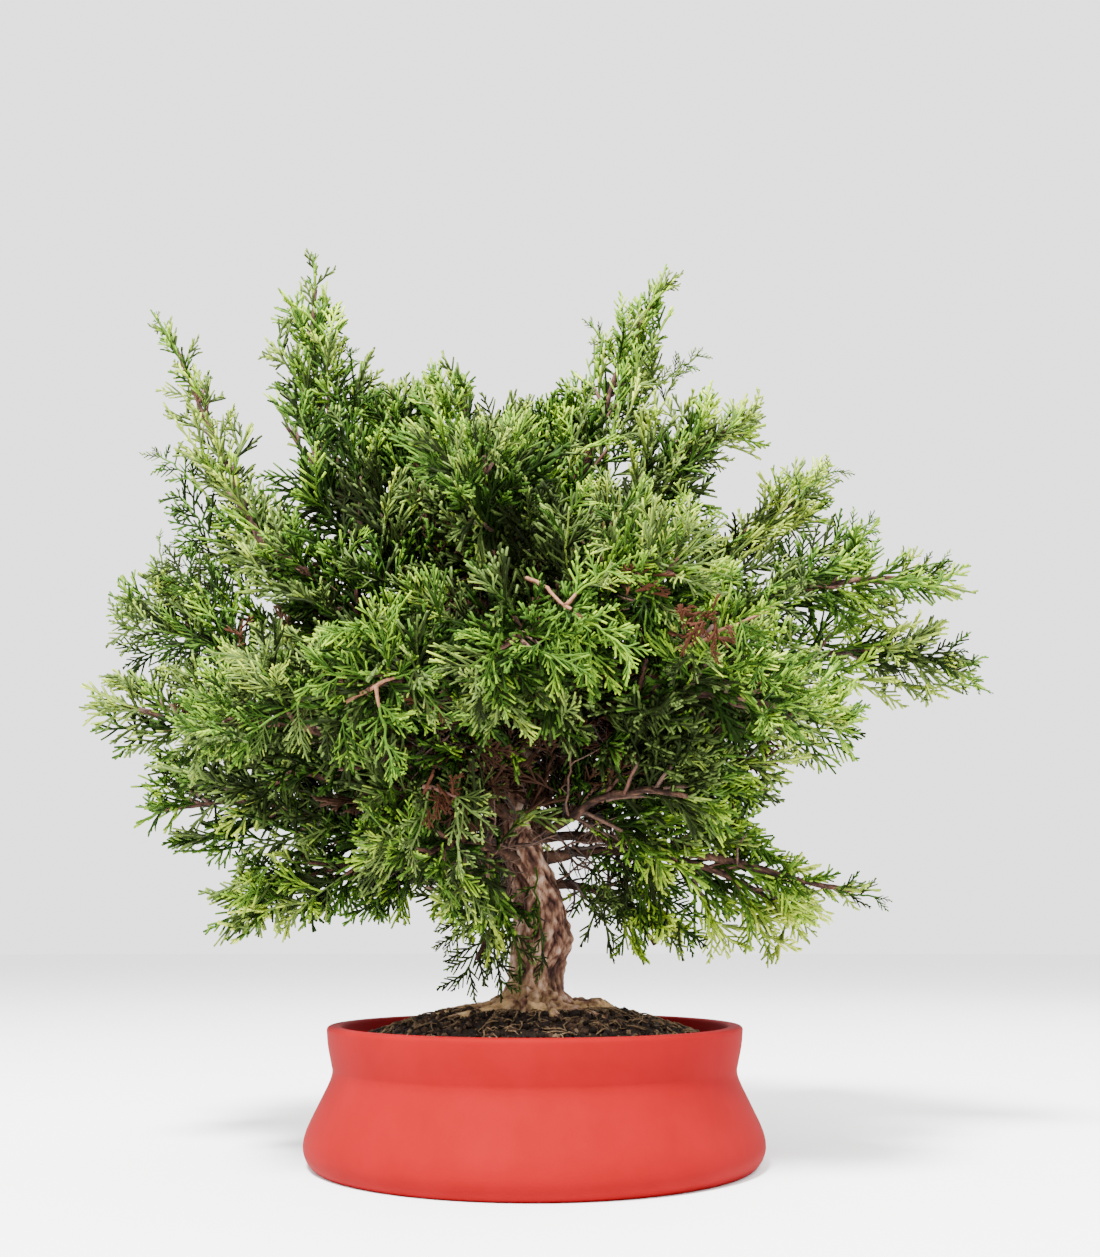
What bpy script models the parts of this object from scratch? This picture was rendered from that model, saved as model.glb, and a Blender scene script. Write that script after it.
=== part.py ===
"""A bonsai of Itoigawa Chinese juniper in a waisted round pot, as separate solids.

Run with: blender --background --python part.py
The row frame is in metres, +Z up, with its origin at the centre of the pot's flat underside. The tree's
front looks along -Y. Sizes below are millimetres.

The tree is a trunk and a table of limbs. Each limb is one smooth curve from the trunk's axis to a tip. Its
first stretch is bare wood, a bough; the rest is the stem of a mass of foliage, with twigs that branch
from it by a seeded rule and end in toothed blades, each of which stands for a spray of scale foliage.
"""

import math
import random
from collections import namedtuple

import bmesh
import bpy
import numpy as np
from mathutils import Matrix, Vector
from mathutils.bvhtree import BVHTree

MM = 0.001
GAP = 0.3  # clearance between solids that rest on each other
UP = np.array([0.0, 0.0, 1.0])

# Pot: a turned shell with a waist under the rim and its widest ring just above the foot
POT_HEIGHT = 42.0
RIM_R = 67.9
WAIST_R, WAIST_Z = 65.6, 27.5
BELLY_R, BELLY_Z = 73.9, 6.0
FOOT_R = 70.5
WALL = 5.0
FLOOR = 5.5
RIM_ROUND = 1.2
POT_STEPS = 40
POT_SIDE = [  # the outer side from under the rim to the foot, as (radius, height)
    (WAIST_R + 0.35, WAIST_Z + 3.0),
    (WAIST_R, WAIST_Z),
    (WAIST_R + 0.8, WAIST_Z - 3.0),
    (BELLY_R - 0.8, BELLY_Z + 4.0),
    (BELLY_R - 0.1, BELLY_Z - 1.5),
    (FOOT_R, 0.0),
]
DRAIN_R, DRAIN_X = 6.0, 34.0

# Soil: a mound that fills the pot, flat where the trunk stands on it
SOIL_EDGE_Z = 37.0
SOIL_TOP_Z = 46.5
SOIL_FLAT_R = 27.0
SOIL_STEPS = 24

# Trunk: axis points (x, y, z) with the radius there
GROUND_Z = SOIL_TOP_Z + GAP
TRUNK_AXIS = (
    ((-0.5, 0.0, GROUND_Z), 9.0),
    ((0.0, 0.0, 58.0), 8.6),
    ((0.8, -0.5, 70.0), 8.7),
    ((1.0, -1.0, 82.0), 8.2),
    ((-3.8, 0.0, 97.0), 7.2),
    ((-6.0, 2.0, 116.0), 6.2),
    ((-7.0, 3.0, 150.0), 4.6),
    ((-5.0, 1.0, 194.0), 2.4),
)
TRUNK_RINGS, TRUNK_SIDES = 15, 14
FLARE_HEIGHT = 11.0
# Surface roots in the flare: (direction in degrees, reach beyond the trunk's side, half width in degrees)
ROOTS = ((-8, 11.0, 22), (176, 6.0, 26), (-70, 5.0, 24), (-128, 5.5, 22), (70, 6.5, 26), (122, 5.5, 24))
KNOT_DIRECTION, KNOT_Z, KNOT_SIZE = -5.0, 68.0, 2.6

# Limbs. foot: height on the trunk's axis. tip: where the foliage ends. rise, slope: the limb's slope in
# degrees as it leaves the trunk and at its tip. bare: the share of it that is bare wood. reach: how far
# foliage spreads round the stem. core: how thick its dense inside is. wood: the bough's radius at the
# trunk, or 0 for a shoot that has no bough. blades: the most that it bears.
Limb = namedtuple("Limb", "name foot tip rise slope bare reach core wood blades")
LIMBS = (
    Limb("left_leader", 124.5, (-142, -10, 297), 14, 60, 0.28, 27, 4, 3.0, 15),
    Limb("left_high", 113, (-157, 12, 194), 16, 26, 0.28, 34, 8, 2.6, 15),
    Limb("left_low", 104.5, (-150, -20, 149), 9, 12, 0.28, 33, 8, 2.6, 14),
    Limb("left_skirt", 97.5, (-143, 16, 111), 6, -20, 0.30, 33, 7, 2.4, 14),
    Limb("left_drop", 90, (-102, -10, 70), 14, -58, 0.30, 29, 6, 2.2, 11),
    Limb("left_under", 83, (-66, 14, 82), 8, -58, 0.30, 22, 5, 0, 7),
    Limb("left_front", 109.3, (-100, -74, 130), 18, -12, 0.30, 40, 11, 2.6, 12),
    Limb("front_left", 129.5, (-50, -92, 132), 22, -40, 0.28, 40, 11, 0, 12),
    Limb("front_low", 93, (-38, -64, 87), 16, -34, 0.26, 34, 8, 0, 11),
    Limb("trunk_spray", 80, (-19, -23, 59), 6, -72, 0.30, 15, 0, 0, 5),
    Limb("front_centre", 143.5, (-2, -108, 142), 26, -38, 0.28, 40, 11, 2.4, 12),
    Limb("front_right", 157, (44, -98, 170), 26, -10, 0.28, 40, 11, 2.4, 12),
    Limb("front_top", 171, (-16, -84, 216), 48, 46, 0.28, 40, 11, 0, 12),
    Limb("right_front", 134, (76, -82, 130), 20, -26, 0.30, 40, 11, 2.6, 12),
    Limb("front_low_right", 101, (50, -62, 108), 14, -30, 0.28, 36, 9, 0, 12),
    Limb("low_right", 94.5, (91, -4, 70), 16, -48, 0.30, 32, 6, 2.6, 11),
    Limb("low_right_tip", 101.5, (113, -22, 83), 9, -4, 0.50, 18, 0, 0, 7),
    Limb("low_right_drop", 87.5, (42, 12, 64), 8, -68, 0.30, 22, 4, 0, 7),
    Limb("right_skirt", 107, (90, 20, 118), 18, -32, 0.32, 32, 7, 0, 11),
    Limb("right_low", 114, (110, -26, 139), 22, -8, 0.30, 31, 8, 0, 12),
    Limb("right_far", 121, (163, 6, 157), 33, -32, 0.34, 26, 5, 2.8, 13),
    Limb("right_upper", 138.8, (153, -12, 188), 38, -14, 0.32, 28, 6, 2.6, 13),
    Limb("right_mid", 146.6, (115, 20, 239), 36, 28, 0.30, 30, 8, 2.4, 13),
    Limb("right_high", 164.5, (84, -10, 252), 50, 8, 0.28, 31, 9, 2.2, 12),
    Limb("apex_right", 175.5, (53, 4, 321), 62, 56, 0.26, 28, 4, 2.4, 15),
    Limb("top_centre", 192.5, (10, 14, 268), 84, 84, 0.12, 32, 7, 0, 12),
    Limb("top_left", 183, (-28, -8, 274), 40, 80, 0.24, 33, 6, 0, 13),
    Limb("crown_left", 169, (-57, 8, 274), 50, 80, 0.26, 34, 8, 0, 14),
    Limb("left_shoulder", 161.5, (-94, -24, 252), 36, 52, 0.30, 32, 10, 2.2, 12),
    Limb("left_inner", 138, (-96, -34, 200), 26, 24, 0.28, 32, 9, 0, 12),
    Limb("apex_left", 149.3, (-84, 4, 328), 38, 96, 0.30, 30, 6, 2.6, 15),
    Limb("back_left", 118.5, (-102, 80, 168), 22, 8, 0.28, 42, 12, 2.6, 12),
    Limb("back_centre", 134, (-6, 110, 152), 26, -6, 0.28, 42, 12, 2.6, 12),
    Limb("back_right", 128.5, (98, 84, 166), 24, 4, 0.28, 42, 12, 2.6, 12),
    Limb("back_top", 152.8, (10, 76, 240), 48, 46, 0.28, 44, 13, 2.4, 13),
    Limb("back_low", 99, (-32, 86, 90), 14, -40, 0.28, 38, 10, 0, 12),
)
CORE_END = 0.8  # the share of a mass's stem at which its core has thinned out
LEAVE_PULL, END_PULL = 0.38, 0.34  # how long a limb keeps its first and last slope, as shares of its span
BOUGH_TIP_R = 1.5
SHOOT_R = 1.5
STEM_END_R = 0.75
LIMB_CLEAR = 0.7  # foliage keeps this far from every limb
SPACE_CLEAR = 0.5  # and this far inside its own space

# Twigs and blades
GOLDEN_ANGLE = math.radians(137.5)
SPREAD = (62, 30)  # degrees between stem and twig, at the mass's start and at its tip
TWIG_EVERY = 3  # of the nodes, one in this many bears a twig and the rest a blade
TWIG_REACH = 0.38  # a twig's length, as a share of how far foliage spreads there
TWIG_R = (1.5, 1.3)
BLADE_REACH = (1.45, 1.05)  # a blade's length as a share of the limb's reach, at the mass's start and tip
BLADE_ROOT = 1.2  # how deep a blade's root is sunk in its twig
BLADE_TRIES = (1.0, 0.82, 0.66, 0.54)  # a blade that doesn't fit is tried smaller, then left off
TWIG_TRIES = (0.85, 0.68, 0.52)  # the same for the blades on twigs
TWIG_SHARE = 0.5  # the share of a mass's blades that twigs bear
BLADE_STALK = 0.14  # the share of a blade that may touch the twig it grows on
BLADE_THICK = 0.05  # of its length
# One side of a blade's outline, as shares of its length: (half width, distance from the root)
BLADE_SIDE = ((0.33, 0.6), (0.15, 0.53))
CREST = 0.45  # where the blade is thickest

COLOURS = {
    "pot": ((0.80, 0.075, 0.06), 0.55),
    "soil": ((0.045, 0.028, 0.018), 0.95),
    "trunk": ((0.20, 0.11, 0.065), 0.85),
    "bough": ((0.17, 0.075, 0.045), 0.85),
    "foliage": ((0.10, 0.26, 0.035), 0.6),
}


def material(name):
    """The Principled material of one part of the object."""
    colour, roughness = COLOURS[name]
    made = bpy.data.materials.get(name) or bpy.data.materials.new(name)
    made.use_nodes = True
    shader = made.node_tree.nodes["Principled BSDF"]
    shader.inputs["Base Color"].default_value = (*colour, 1)
    shader.inputs["Roughness"].default_value = roughness
    made.diffuse_color = (*colour, 1)
    return made


def new_collection(name):
    made = bpy.data.collections.new(name)
    bpy.context.scene.collection.children.link(made)
    return made


def new_object(name, data, collection, looks=None):
    made = bpy.data.objects.new(name, data)
    collection.objects.link(made)
    if looks:
        data.materials.clear()
        data.materials.append(material(looks))
    return made


def mesh_from(build, name):
    """A mesh datablock from a function that fills a bmesh."""
    shape = bmesh.new()
    build(shape)
    bmesh.ops.recalc_face_normals(shape, faces=shape.faces)
    made = bpy.data.meshes.new(name)
    shape.to_mesh(made)
    shape.free()
    return made


def unit(vector):
    return vector / np.linalg.norm(vector)


def smooth_through(points, share):
    """A point on the Catmull-Rom curve through rows of numbers, share from 0 to 1 along it."""
    rows = np.asarray(points, float)
    rows = np.vstack([2 * rows[0] - rows[1], rows, 2 * rows[-1] - rows[-2]])
    place = min(max(share, 0.0), 1.0) * (len(rows) - 3)
    first = min(int(place), len(rows) - 4)
    t = place - first
    a, b, c, d = rows[first : first + 4]
    return 0.5 * (2 * b + (c - a) * t + (2 * a - 5 * b + 4 * c - d) * t * t + (3 * b - a - 3 * c + d) * t**3)


def turned(name, profile, steps, looks, collection):
    """A solid of revolution from (radius, height) points, outer side first from top to bottom."""

    def outline(shape):
        made = [shape.verts.new((r * MM, 0, z * MM)) for r, z in profile]
        for a, b in zip(made, made[1:]):
            shape.edges.new((a, b))

    shape = bmesh.new()
    outline(shape)
    data = bpy.data.meshes.new(name)
    shape.to_mesh(data)
    shape.free()
    made = new_object(name, data, collection, looks)
    screw = made.modifiers.new("Turn", "SCREW")
    screw.steps = screw.render_steps = steps
    screw.use_merge_vertices = True
    screw.merge_threshold = 0.00005
    screw.use_smooth_shade = True
    return made


def arc(centre, radius, start, end, count):
    """Points (r, z) on an arc about a centre, between two angles in degrees."""
    return [
        (centre[0] + radius * math.cos(a), centre[1] + radius * math.sin(a))
        for a in (math.radians(start + (end - start) * k / (count - 1)) for k in range(count))
    ]


def build_pot(parts, cutters):
    """The pot's shell, with two drain holes through its floor."""
    rim = arc((RIM_R - RIM_ROUND, POT_HEIGHT - RIM_ROUND), RIM_ROUND, 90, 0, 3)
    inside = [
        (0.0, 0.0),
        (0.0, FLOOR),
        (FOOT_R - WALL - 2.0, FLOOR),
        (BELLY_R - WALL, FLOOR + 4.0),
        (WAIST_R - WALL, WAIST_Z),
        (RIM_R - WALL, POT_HEIGHT),
    ]
    outline = rim + POT_SIDE + inside
    pot = turned("pot", outline + outline[:1], POT_STEPS, "pot", parts)
    for side in (-1, 1):
        shape = bmesh.new()
        wide = DRAIN_R * MM
        bmesh.ops.create_cone(shape, cap_ends=True, segments=16, radius1=wide, radius2=wide, depth=4 * FLOOR * MM)
        data = bpy.data.meshes.new("drain")
        shape.to_mesh(data)
        shape.free()
        drill = new_object("drain", data, cutters)
        drill.location = (side * DRAIN_X * MM, 0, 0)
        drill.hide_render = True
        drill.display_type = "WIRE"
        cut = pot.modifiers.new("Drain", "BOOLEAN")
        cut.operation = "DIFFERENCE"
        cut.object = drill


def build_soil(parts):
    """The soil: the pot's inside less a gap, with a mound on top."""
    outline = [
        (0.0, SOIL_TOP_Z),
        (SOIL_FLAT_R, SOIL_TOP_Z),
        (SOIL_FLAT_R + 14.0, SOIL_TOP_Z - 3.4),
        (RIM_R - WALL - 6.0, SOIL_EDGE_Z + 0.8),
        (RIM_R - WALL - 2.2, SOIL_EDGE_Z - 1.0),
        (WAIST_R - WALL - GAP, WAIST_Z),
        (BELLY_R - WALL - GAP - 0.2, FLOOR + 4.2),
        (FOOT_R - WALL - 2.3, FLOOR + GAP),
        (0.0, FLOOR + GAP),
    ]
    turned("soil", outline, SOIL_STEPS, "soil", parts)


def trunk_axis(height):
    """The trunk's axis point at a height."""
    places = [row[0] for row in TRUNK_AXIS]
    low, high = 0.0, 1.0
    for _ in range(30):
        middle = (low + high) / 2
        if smooth_through(places, middle)[2] < height:
            low = middle
        else:
            high = middle
    return smooth_through(places, (low + high) / 2)


def trunk_radius(height):
    """The trunk's radius at a height, without its roots."""
    heights = [row[0][2] for row in TRUNK_AXIS]
    return float(np.interp(height, heights, [row[1] for row in TRUNK_AXIS]))


def trunk_side(height, angle):
    """How far the trunk's surface is from its axis at a height, in one direction in degrees."""
    reach = trunk_radius(height)
    up = (height - GROUND_Z) / FLARE_HEIGHT
    for direction, spread, width in ROOTS:
        off = (angle - direction + 180) % 360 - 180
        reach += spread * math.exp(-((off / width) ** 2)) * math.exp(-3.2 * up)
    off = (angle - KNOT_DIRECTION + 180) % 360 - 180
    reach += KNOT_SIZE * math.exp(-((off / 42) ** 2)) * math.exp(-(((height - KNOT_Z) / 7) ** 2))
    return reach + 0.35 * math.sin(3 * math.radians(angle) + height / 9)


def trunk_rings(spare):
    """The trunk's rings of points, each spare millimetres outside its surface."""
    top = TRUNK_AXIS[-1][0][2]
    rings = []
    for k in range(TRUNK_RINGS):
        height = GROUND_Z + (top - GROUND_Z) * (k / (TRUNK_RINGS - 1)) ** 1.6
        cap = spare if k == TRUNK_RINGS - 1 else 0
        axis = trunk_axis(height)
        ring = []
        for side in range(TRUNK_SIDES):
            angle = 360 * side / TRUNK_SIDES
            reach = trunk_side(height, angle) + spare
            turn = math.radians(angle)
            ring.append((axis[0] + reach * math.cos(turn), axis[1] + reach * math.sin(turn), height + cap))
        rings.append(ring)
    return rings


def loft(rings):
    """A function that fills a bmesh with a closed loft through rings of points."""

    def build(shape):
        made = [[shape.verts.new(Vector(p) * MM) for p in ring] for ring in rings]
        for low, high in zip(made, made[1:]):
            for k in range(len(low)):
                shape.faces.new((low[k - 1], low[k], high[k], high[k - 1]))
        shape.faces.new(made[0][::-1])
        shape.faces.new(made[-1])

    return build


def build_trunk(parts, cutters):
    """The trunk from its flat cut on the soil to its thin top, and the cutter that trims the boughs to it."""
    data = mesh_from(loft(trunk_rings(0)), "trunk")
    new_object("trunk", data, parts, "trunk")
    data.shade_smooth()
    around = new_object("trunk_clearance", mesh_from(loft(trunk_rings(GAP)), "trunk_clearance"), cutters)
    around.hide_render = True
    around.display_type = "WIRE"
    return around


def limb_curve(limb):
    """The limb's four Bezier points, from the trunk's axis to its tip."""
    foot, tip = trunk_axis(limb.foot), np.array(limb.tip, float)
    flat = (tip - foot) * (1, 1, 0)
    span = np.linalg.norm(tip - foot)
    outward = unit(flat)

    def sloped(degrees):
        return outward * math.cos(math.radians(degrees)) + UP * math.sin(math.radians(degrees))

    return np.array(
        [foot, foot + sloped(limb.rise) * span * LEAVE_PULL, tip - sloped(limb.slope) * span * END_PULL, tip]
    )


def on_curve(curve, t):
    a, b, c, d = curve
    return a * (1 - t) ** 3 + 3 * b * t * (1 - t) ** 2 + 3 * c * t * t * (1 - t) + d * t**3


def heading(curve, t):
    a, b, c, d = curve
    return unit((b - a) * (1 - t) ** 2 + 2 * (c - b) * t * (1 - t) + (d - c) * t * t)


def tube(name, points, radii, sides, looks, collection):
    """A tapering round limb through points, as a mesh whose caps are welded."""
    line = bpy.data.curves.new(name, "CURVE")
    line.dimensions = "3D"
    line.bevel_depth = MM
    line.bevel_resolution = (sides - 4) // 2
    line.use_fill_caps = True
    spline = line.splines.new("POLY")
    spline.points.add(len(points) - 1)
    for place, point, radius in zip(spline.points, points, radii):
        place.co = (*(Vector(point) * MM), 1)
        place.radius = radius
    drawn = new_object(name, line, collection)
    bpy.context.view_layer.update()
    data = bpy.data.meshes.new_from_object(drawn.evaluated_get(bpy.context.evaluated_depsgraph_get()))
    bpy.data.objects.remove(drawn)
    shape = bmesh.new()
    shape.from_mesh(data)
    bmesh.ops.remove_doubles(shape, verts=shape.verts, dist=0.00002)
    bmesh.ops.recalc_face_normals(shape, faces=shape.faces)
    shape.to_mesh(data)
    shape.free()
    data.shade_smooth()
    return new_object(name, data, collection, looks)


def wood_radius(limb, t):
    """The limb's radius along its curve, with the dense core of its foliage."""
    if limb.wood and t <= limb.bare:
        return limb.wood + (BOUGH_TIP_R - limb.wood) * (t / limb.bare) ** 0.8
    start = BOUGH_TIP_R if limb.wood else SHOOT_R
    s = max(t - limb.bare, 0) / (1 - limb.bare)
    return start + (STEM_END_R - start) * s + limb.core * math.sin(math.pi * min(s / CORE_END, 1)) ** 0.8


def stretch(limb, curve, start, end, count):
    """Points and radii along one stretch of a limb."""
    shares = np.linspace(start, end, count)
    return [on_curve(curve, t) for t in shares], [wood_radius(limb, t) for t in shares]


def trimmed(limb_object, around):
    """Gives a limb the cut that keeps it just clear of the trunk."""
    trim = limb_object.modifiers.new("Trim", "BOOLEAN")
    trim.operation = "DIFFERENCE"
    trim.object = around


def build_bough(limb, curve, around, parts):
    """The bare wood of a limb, trimmed just clear of the trunk that carries it."""
    points, radii = stretch(limb, curve, 0, limb.bare, 5)
    trimmed(tube("bough_" + limb.name, points, radii, 6, "bough", parts), around)


def fullness(s):
    """How far foliage spreads round the stem, as a share of the limb's reach, s from 0 to 1 along it."""
    return (1 - s**2.4) * (0.5 + 0.5 * s) + 0.42


class Space:
    """Where each mass may grow: inside its reach, nearer to its stem than to any other, clear of every limb."""

    def __init__(self, limbs, curves):
        shares = np.linspace(0, 1, 13)
        self.centres, self.reaches = [], []
        self.wood, self.wood_r, self.owner = [], [], []
        for index, (limb, curve) in enumerate(zip(limbs, curves)):
            along = limb.bare + (1 - limb.bare) * shares
            self.centres.append(np.array([on_curve(curve, t) for t in along]))
            self.reaches.append(np.array([limb.reach * fullness(s) for s in shares]))
            for t in np.linspace(0.02, 1, 60):
                self.wood.append(on_curve(curve, t))
                self.wood_r.append(wood_radius(limb, t))
                self.owner.append(index if t > limb.bare else -1 - index)
        for height in np.linspace(GROUND_Z, TRUNK_AXIS[-1][0][2], 50):
            self.wood.append(trunk_axis(height))
            self.wood_r.append(trunk_radius(height) + 1.2)
            self.owner.append(-1000)
        self.wood, self.wood_r, self.owner = map(np.array, (self.wood, self.wood_r, self.owner))

    def depth(self, points, index):
        """How far outside mass index's reach each point is; below 0 inside."""
        off = np.linalg.norm(points[:, None] - self.centres[index][None], axis=2) - self.reaches[index][None]
        return off.min(axis=1)

    def holds(self, points, index, spare=SPACE_CLEAR):
        """Whether points all lie in mass index's own space and touch no limb but its own stem."""
        points = np.asarray(points)
        own = self.depth(points, index)
        if (own > 0).any():
            return False
        for other in range(len(self.centres)):
            if other != index and (self.depth(points, other) < own + 2 * spare).any():
                return False
        others = self.owner != index
        off = np.linalg.norm(points[:, None] - self.wood[others][None], axis=2) - self.wood_r[others][None]
        return bool((off > LIMB_CLEAR).all())


def side_of(direction, roll):
    """A unit vector at right angles to direction, turned by roll about it."""
    across = np.cross(direction, UP)
    if np.linalg.norm(across) < 1e-3:
        across = np.array([1.0, 0.0, 0.0])
    across = unit(across)
    return across * math.cos(roll) + np.cross(across, direction) * math.sin(roll)


def blade_points():
    """A blade's outline, from its root up its right side to its tip and down its left side, and its crest."""
    right = [(x, y, 0.0) for x, y in BLADE_SIDE]
    left = [(-x, y, 0.0) for x, y in reversed(BLADE_SIDE)]
    return [(0.0, 0.0, 0.0)] + right + [(0.0, 1.0, 0.0)] + left, (0.0, CREST, BLADE_THICK)


def blade_mesh():
    """A toothed blade one unit long along +Y, flat underneath, thick on its midrib and thin at its teeth."""
    outline, crest = blade_points()

    def build(shape):
        edge = [shape.verts.new(p) for p in outline]
        top = shape.verts.new(crest)
        for k in range(len(edge)):
            shape.faces.new((edge[k - 1], edge[k], top))
        for k in range(1, len(edge) - 1):
            shape.faces.new((edge[0], edge[k + 1], edge[k]))

    return mesh_from(build, "blade")


def blade_samples(where):
    """Points on a placed blade, in millimetres: its corners and the middles of its edges."""
    outline, crest = blade_points()
    corners = np.array(outline[1:])
    middles = (corners[1:] + corners[:-1]) / 2
    return np.array([where @ Vector(p) for p in np.vstack([corners, middles, crest])]) / MM


def twig_mesh():
    """A three-sided twig one unit long along +Y and one unit in radius at its root."""

    def build(shape):
        taper = TWIG_R[1] / TWIG_R[0]
        bmesh.ops.create_cone(shape, cap_ends=True, segments=3, radius1=1, radius2=taper, depth=1)
        bmesh.ops.transform(shape, matrix=Matrix.Translation((0, 0, 0.5)), verts=shape.verts)
        bmesh.ops.rotate(shape, cent=(0, 0, 0), matrix=Matrix.Rotation(-math.pi / 2, 3, "X"), verts=shape.verts)

    return mesh_from(build, "twig")


def placed(origin, along, flat_side, size, width):
    """The matrix that puts a mesh drawn along +Y at origin, with its +X on flat_side."""
    y = unit(along)
    x = unit(flat_side - y * np.dot(flat_side, y))
    z = np.cross(x, y)
    columns = Matrix((x * width, y * size, z * width)).transposed().to_4x4()
    columns.translation = Vector(origin)
    return Matrix.Scale(MM, 4) @ columns


def stem_end(limb, curve):
    """The share of a mass's stem at which its last blade takes over."""
    span = np.linalg.norm(on_curve(curve, 1) - on_curve(curve, limb.bare))
    return 1 - min(0.45, limb.reach * BLADE_REACH[1] / span)


def nodes_of(limb, curve, seed):
    """The seeded rule: a spiral of nodes on the stem, taken in an order that keeps them spread along it.

    Each node is (share of the stem, root, direction of its twig, length of its twig or 0, roll)."""
    chance = random.Random(seed)
    nodes = []
    for k in range(6 * limb.blades):
        s = 0.03 + (stem_end(limb, curve) - 0.06) * ((0.31 + k * 0.618034) % 1)
        forward = heading(curve, limb.bare + (1 - limb.bare) * s)
        roll = seed + s * limb.blades * GOLDEN_ANGLE + chance.uniform(-0.4, 0.4)
        spread = math.radians(SPREAD[0] + (SPREAD[1] - SPREAD[0]) * s)
        away = side_of(forward, roll)
        along = unit(forward * math.cos(spread) + away * math.sin(spread) + UP * 0.1)
        length = 0 if k % TWIG_EVERY else limb.reach * fullness(s) * TWIG_REACH * chance.uniform(0.8, 1.2)
        nodes.append((s, on_curve(curve, limb.bare + (1 - limb.bare) * s), along, length, roll))
    return nodes


def sprays_of(limb, s, root, along, length, share, chance):
    """The blades of one node: one on the stem, or at a twig's end and two at its sides.

    Each blade is (root, direction, flat side, length)."""
    size = share * limb.reach * (BLADE_REACH[0] + (BLADE_REACH[1] - BLADE_REACH[0]) * s)
    across = side_of(along, chance.uniform(0, 2 * math.pi))
    if not length:
        return [(root, along, across, size * chance.uniform(0.9, 1.15))]
    found = [(root + along * (length - BLADE_ROOT), along, across, size * chance.uniform(0.8, 1.0))]
    for side, place in ((1, 0.7), (-1, 0.45)):
        way = unit(along + across * side * chance.uniform(0.8, 1.2))
        flat = across * side + np.cross(along, across) * chance.uniform(0.2, 0.6)
        found.append((root + along * length * place, way, flat, size * chance.uniform(0.6, 0.8)))
    return found


def keep_largest(data):
    """Drops sealed hollows and loose scraps: every connected shell but the largest."""
    shape = bmesh.new()
    shape.from_mesh(data)
    left, shells = set(shape.verts), []
    while left:
        shell, edge = set(), [left.pop()]
        while edge:
            vert = edge.pop()
            shell.add(vert)
            near = {e.other_vert(vert) for e in vert.link_edges} & left
            left -= near
            edge.extend(near)
        shells.append(shell)
    biggest = max(shells, key=len)
    extra = [v for shell in shells if shell is not biggest for v in shell]
    bmesh.ops.delete(shape, geom=extra, context="VERTS")
    shape.to_mesh(data)
    shape.free()


def build_mass(limb, curve, index, space, meshes, around, parts):
    """One mass of foliage: its stem, with twigs and blades fused on."""
    span = np.linalg.norm(on_curve(curve, 1) - on_curve(curve, limb.bare))
    start = limb.bare + GAP / span if limb.wood else 0
    stop = limb.bare + (1 - limb.bare) * stem_end(limb, curve)
    points, radii = stretch(limb, curve, start, stop, 6 if limb.wood else 8)
    stem = tube("foliage_" + limb.name, points, radii, 4, "foliage", parts)
    if not limb.wood:
        trimmed(stem, around)
    pieces = new_collection("pieces_of_" + limb.name)
    solid = []

    def fits(tree, samples, spare):
        return space.holds(samples, index, spare) and not any(tree.overlap(other) for other in solid)

    def grow(root, along, across, size):
        """Adds a blade if there is room for it."""
        where = placed(root, along, across, size, size)
        tree = tree_of(meshes["blade"], where, BLADE_STALK)
        if not fits(tree, blade_samples(where), SPACE_CLEAR):
            return False
        solid.append(tree)
        new_object("blade", meshes["blade"], pieces).matrix_world = where
        return True

    def grow_twig(root, along, length, roll, sprays):
        """Adds a twig with its blades if there is room for two of them or more."""
        where = placed(root, along, side_of(along, roll), length, TWIG_R[0])
        tree = tree_of(meshes["twig"], where, 2.2 / length)
        samples = [root + along * length * share for share in (0.3, 0.6, 1.0)]
        if not fits(tree, samples, SPACE_CLEAR + TWIG_R[0] / 2):
            return 0
        borne = sum(grow(*spray) for spray in sprays)
        if borne > 1:
            solid.append(tree)
            new_object("twig", meshes["twig"], pieces).matrix_world = where
            return borne
        if borne:
            solid.pop()
            bpy.data.objects.remove(pieces.objects[-1])
        return 0

    root, tip = on_curve(curve, stop - 0.01), on_curve(curve, 1.0)
    grown = grow(root, unit(tip - root), side_of(unit(tip - root), 0.4), np.linalg.norm(tip - root))
    nodes = nodes_of(limb, curve, index)
    on_twigs = 0
    for s, root, along, length, roll in nodes:
        if grown >= limb.blades or (length and on_twigs > TWIG_SHARE * limb.blades):
            continue
        added = 0
        for share in TWIG_TRIES if length else BLADE_TRIES:
            sprays = sprays_of(limb, s, root, along, length, share, random.Random(roll))
            added = added or (grow_twig(root, along, length, roll, sprays) if length else grow(*sprays[0]))
        grown += added
        on_twigs += added if length else 0
    fuse(stem, pieces)


def tree_of(data, where, root=0.0):
    """A placed mesh as a search tree, without the share of it nearest its root."""
    points = [where @ (v.co * (1 - root) + Vector((0, root, 0))) for v in data.vertices]
    return BVHTree.FromPolygons(points, [tuple(face.vertices) for face in data.polygons])


def fuse(stem, pieces):
    """Joins a collection's objects to the stem and removes them."""
    join = stem.modifiers.new("Fuse", "BOOLEAN")
    join.operation = "UNION"
    join.operand_type = "COLLECTION"
    join.collection = pieces
    join.solver = "MANIFOLD"
    bpy.context.view_layer.update()
    data = bpy.data.meshes.new_from_object(stem.evaluated_get(bpy.context.evaluated_depsgraph_get()))
    stem.modifiers.clear()
    keep_largest(data)
    stem.data = data
    for piece in list(pieces.objects):
        bpy.data.objects.remove(piece)
    bpy.data.collections.remove(pieces)


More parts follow.
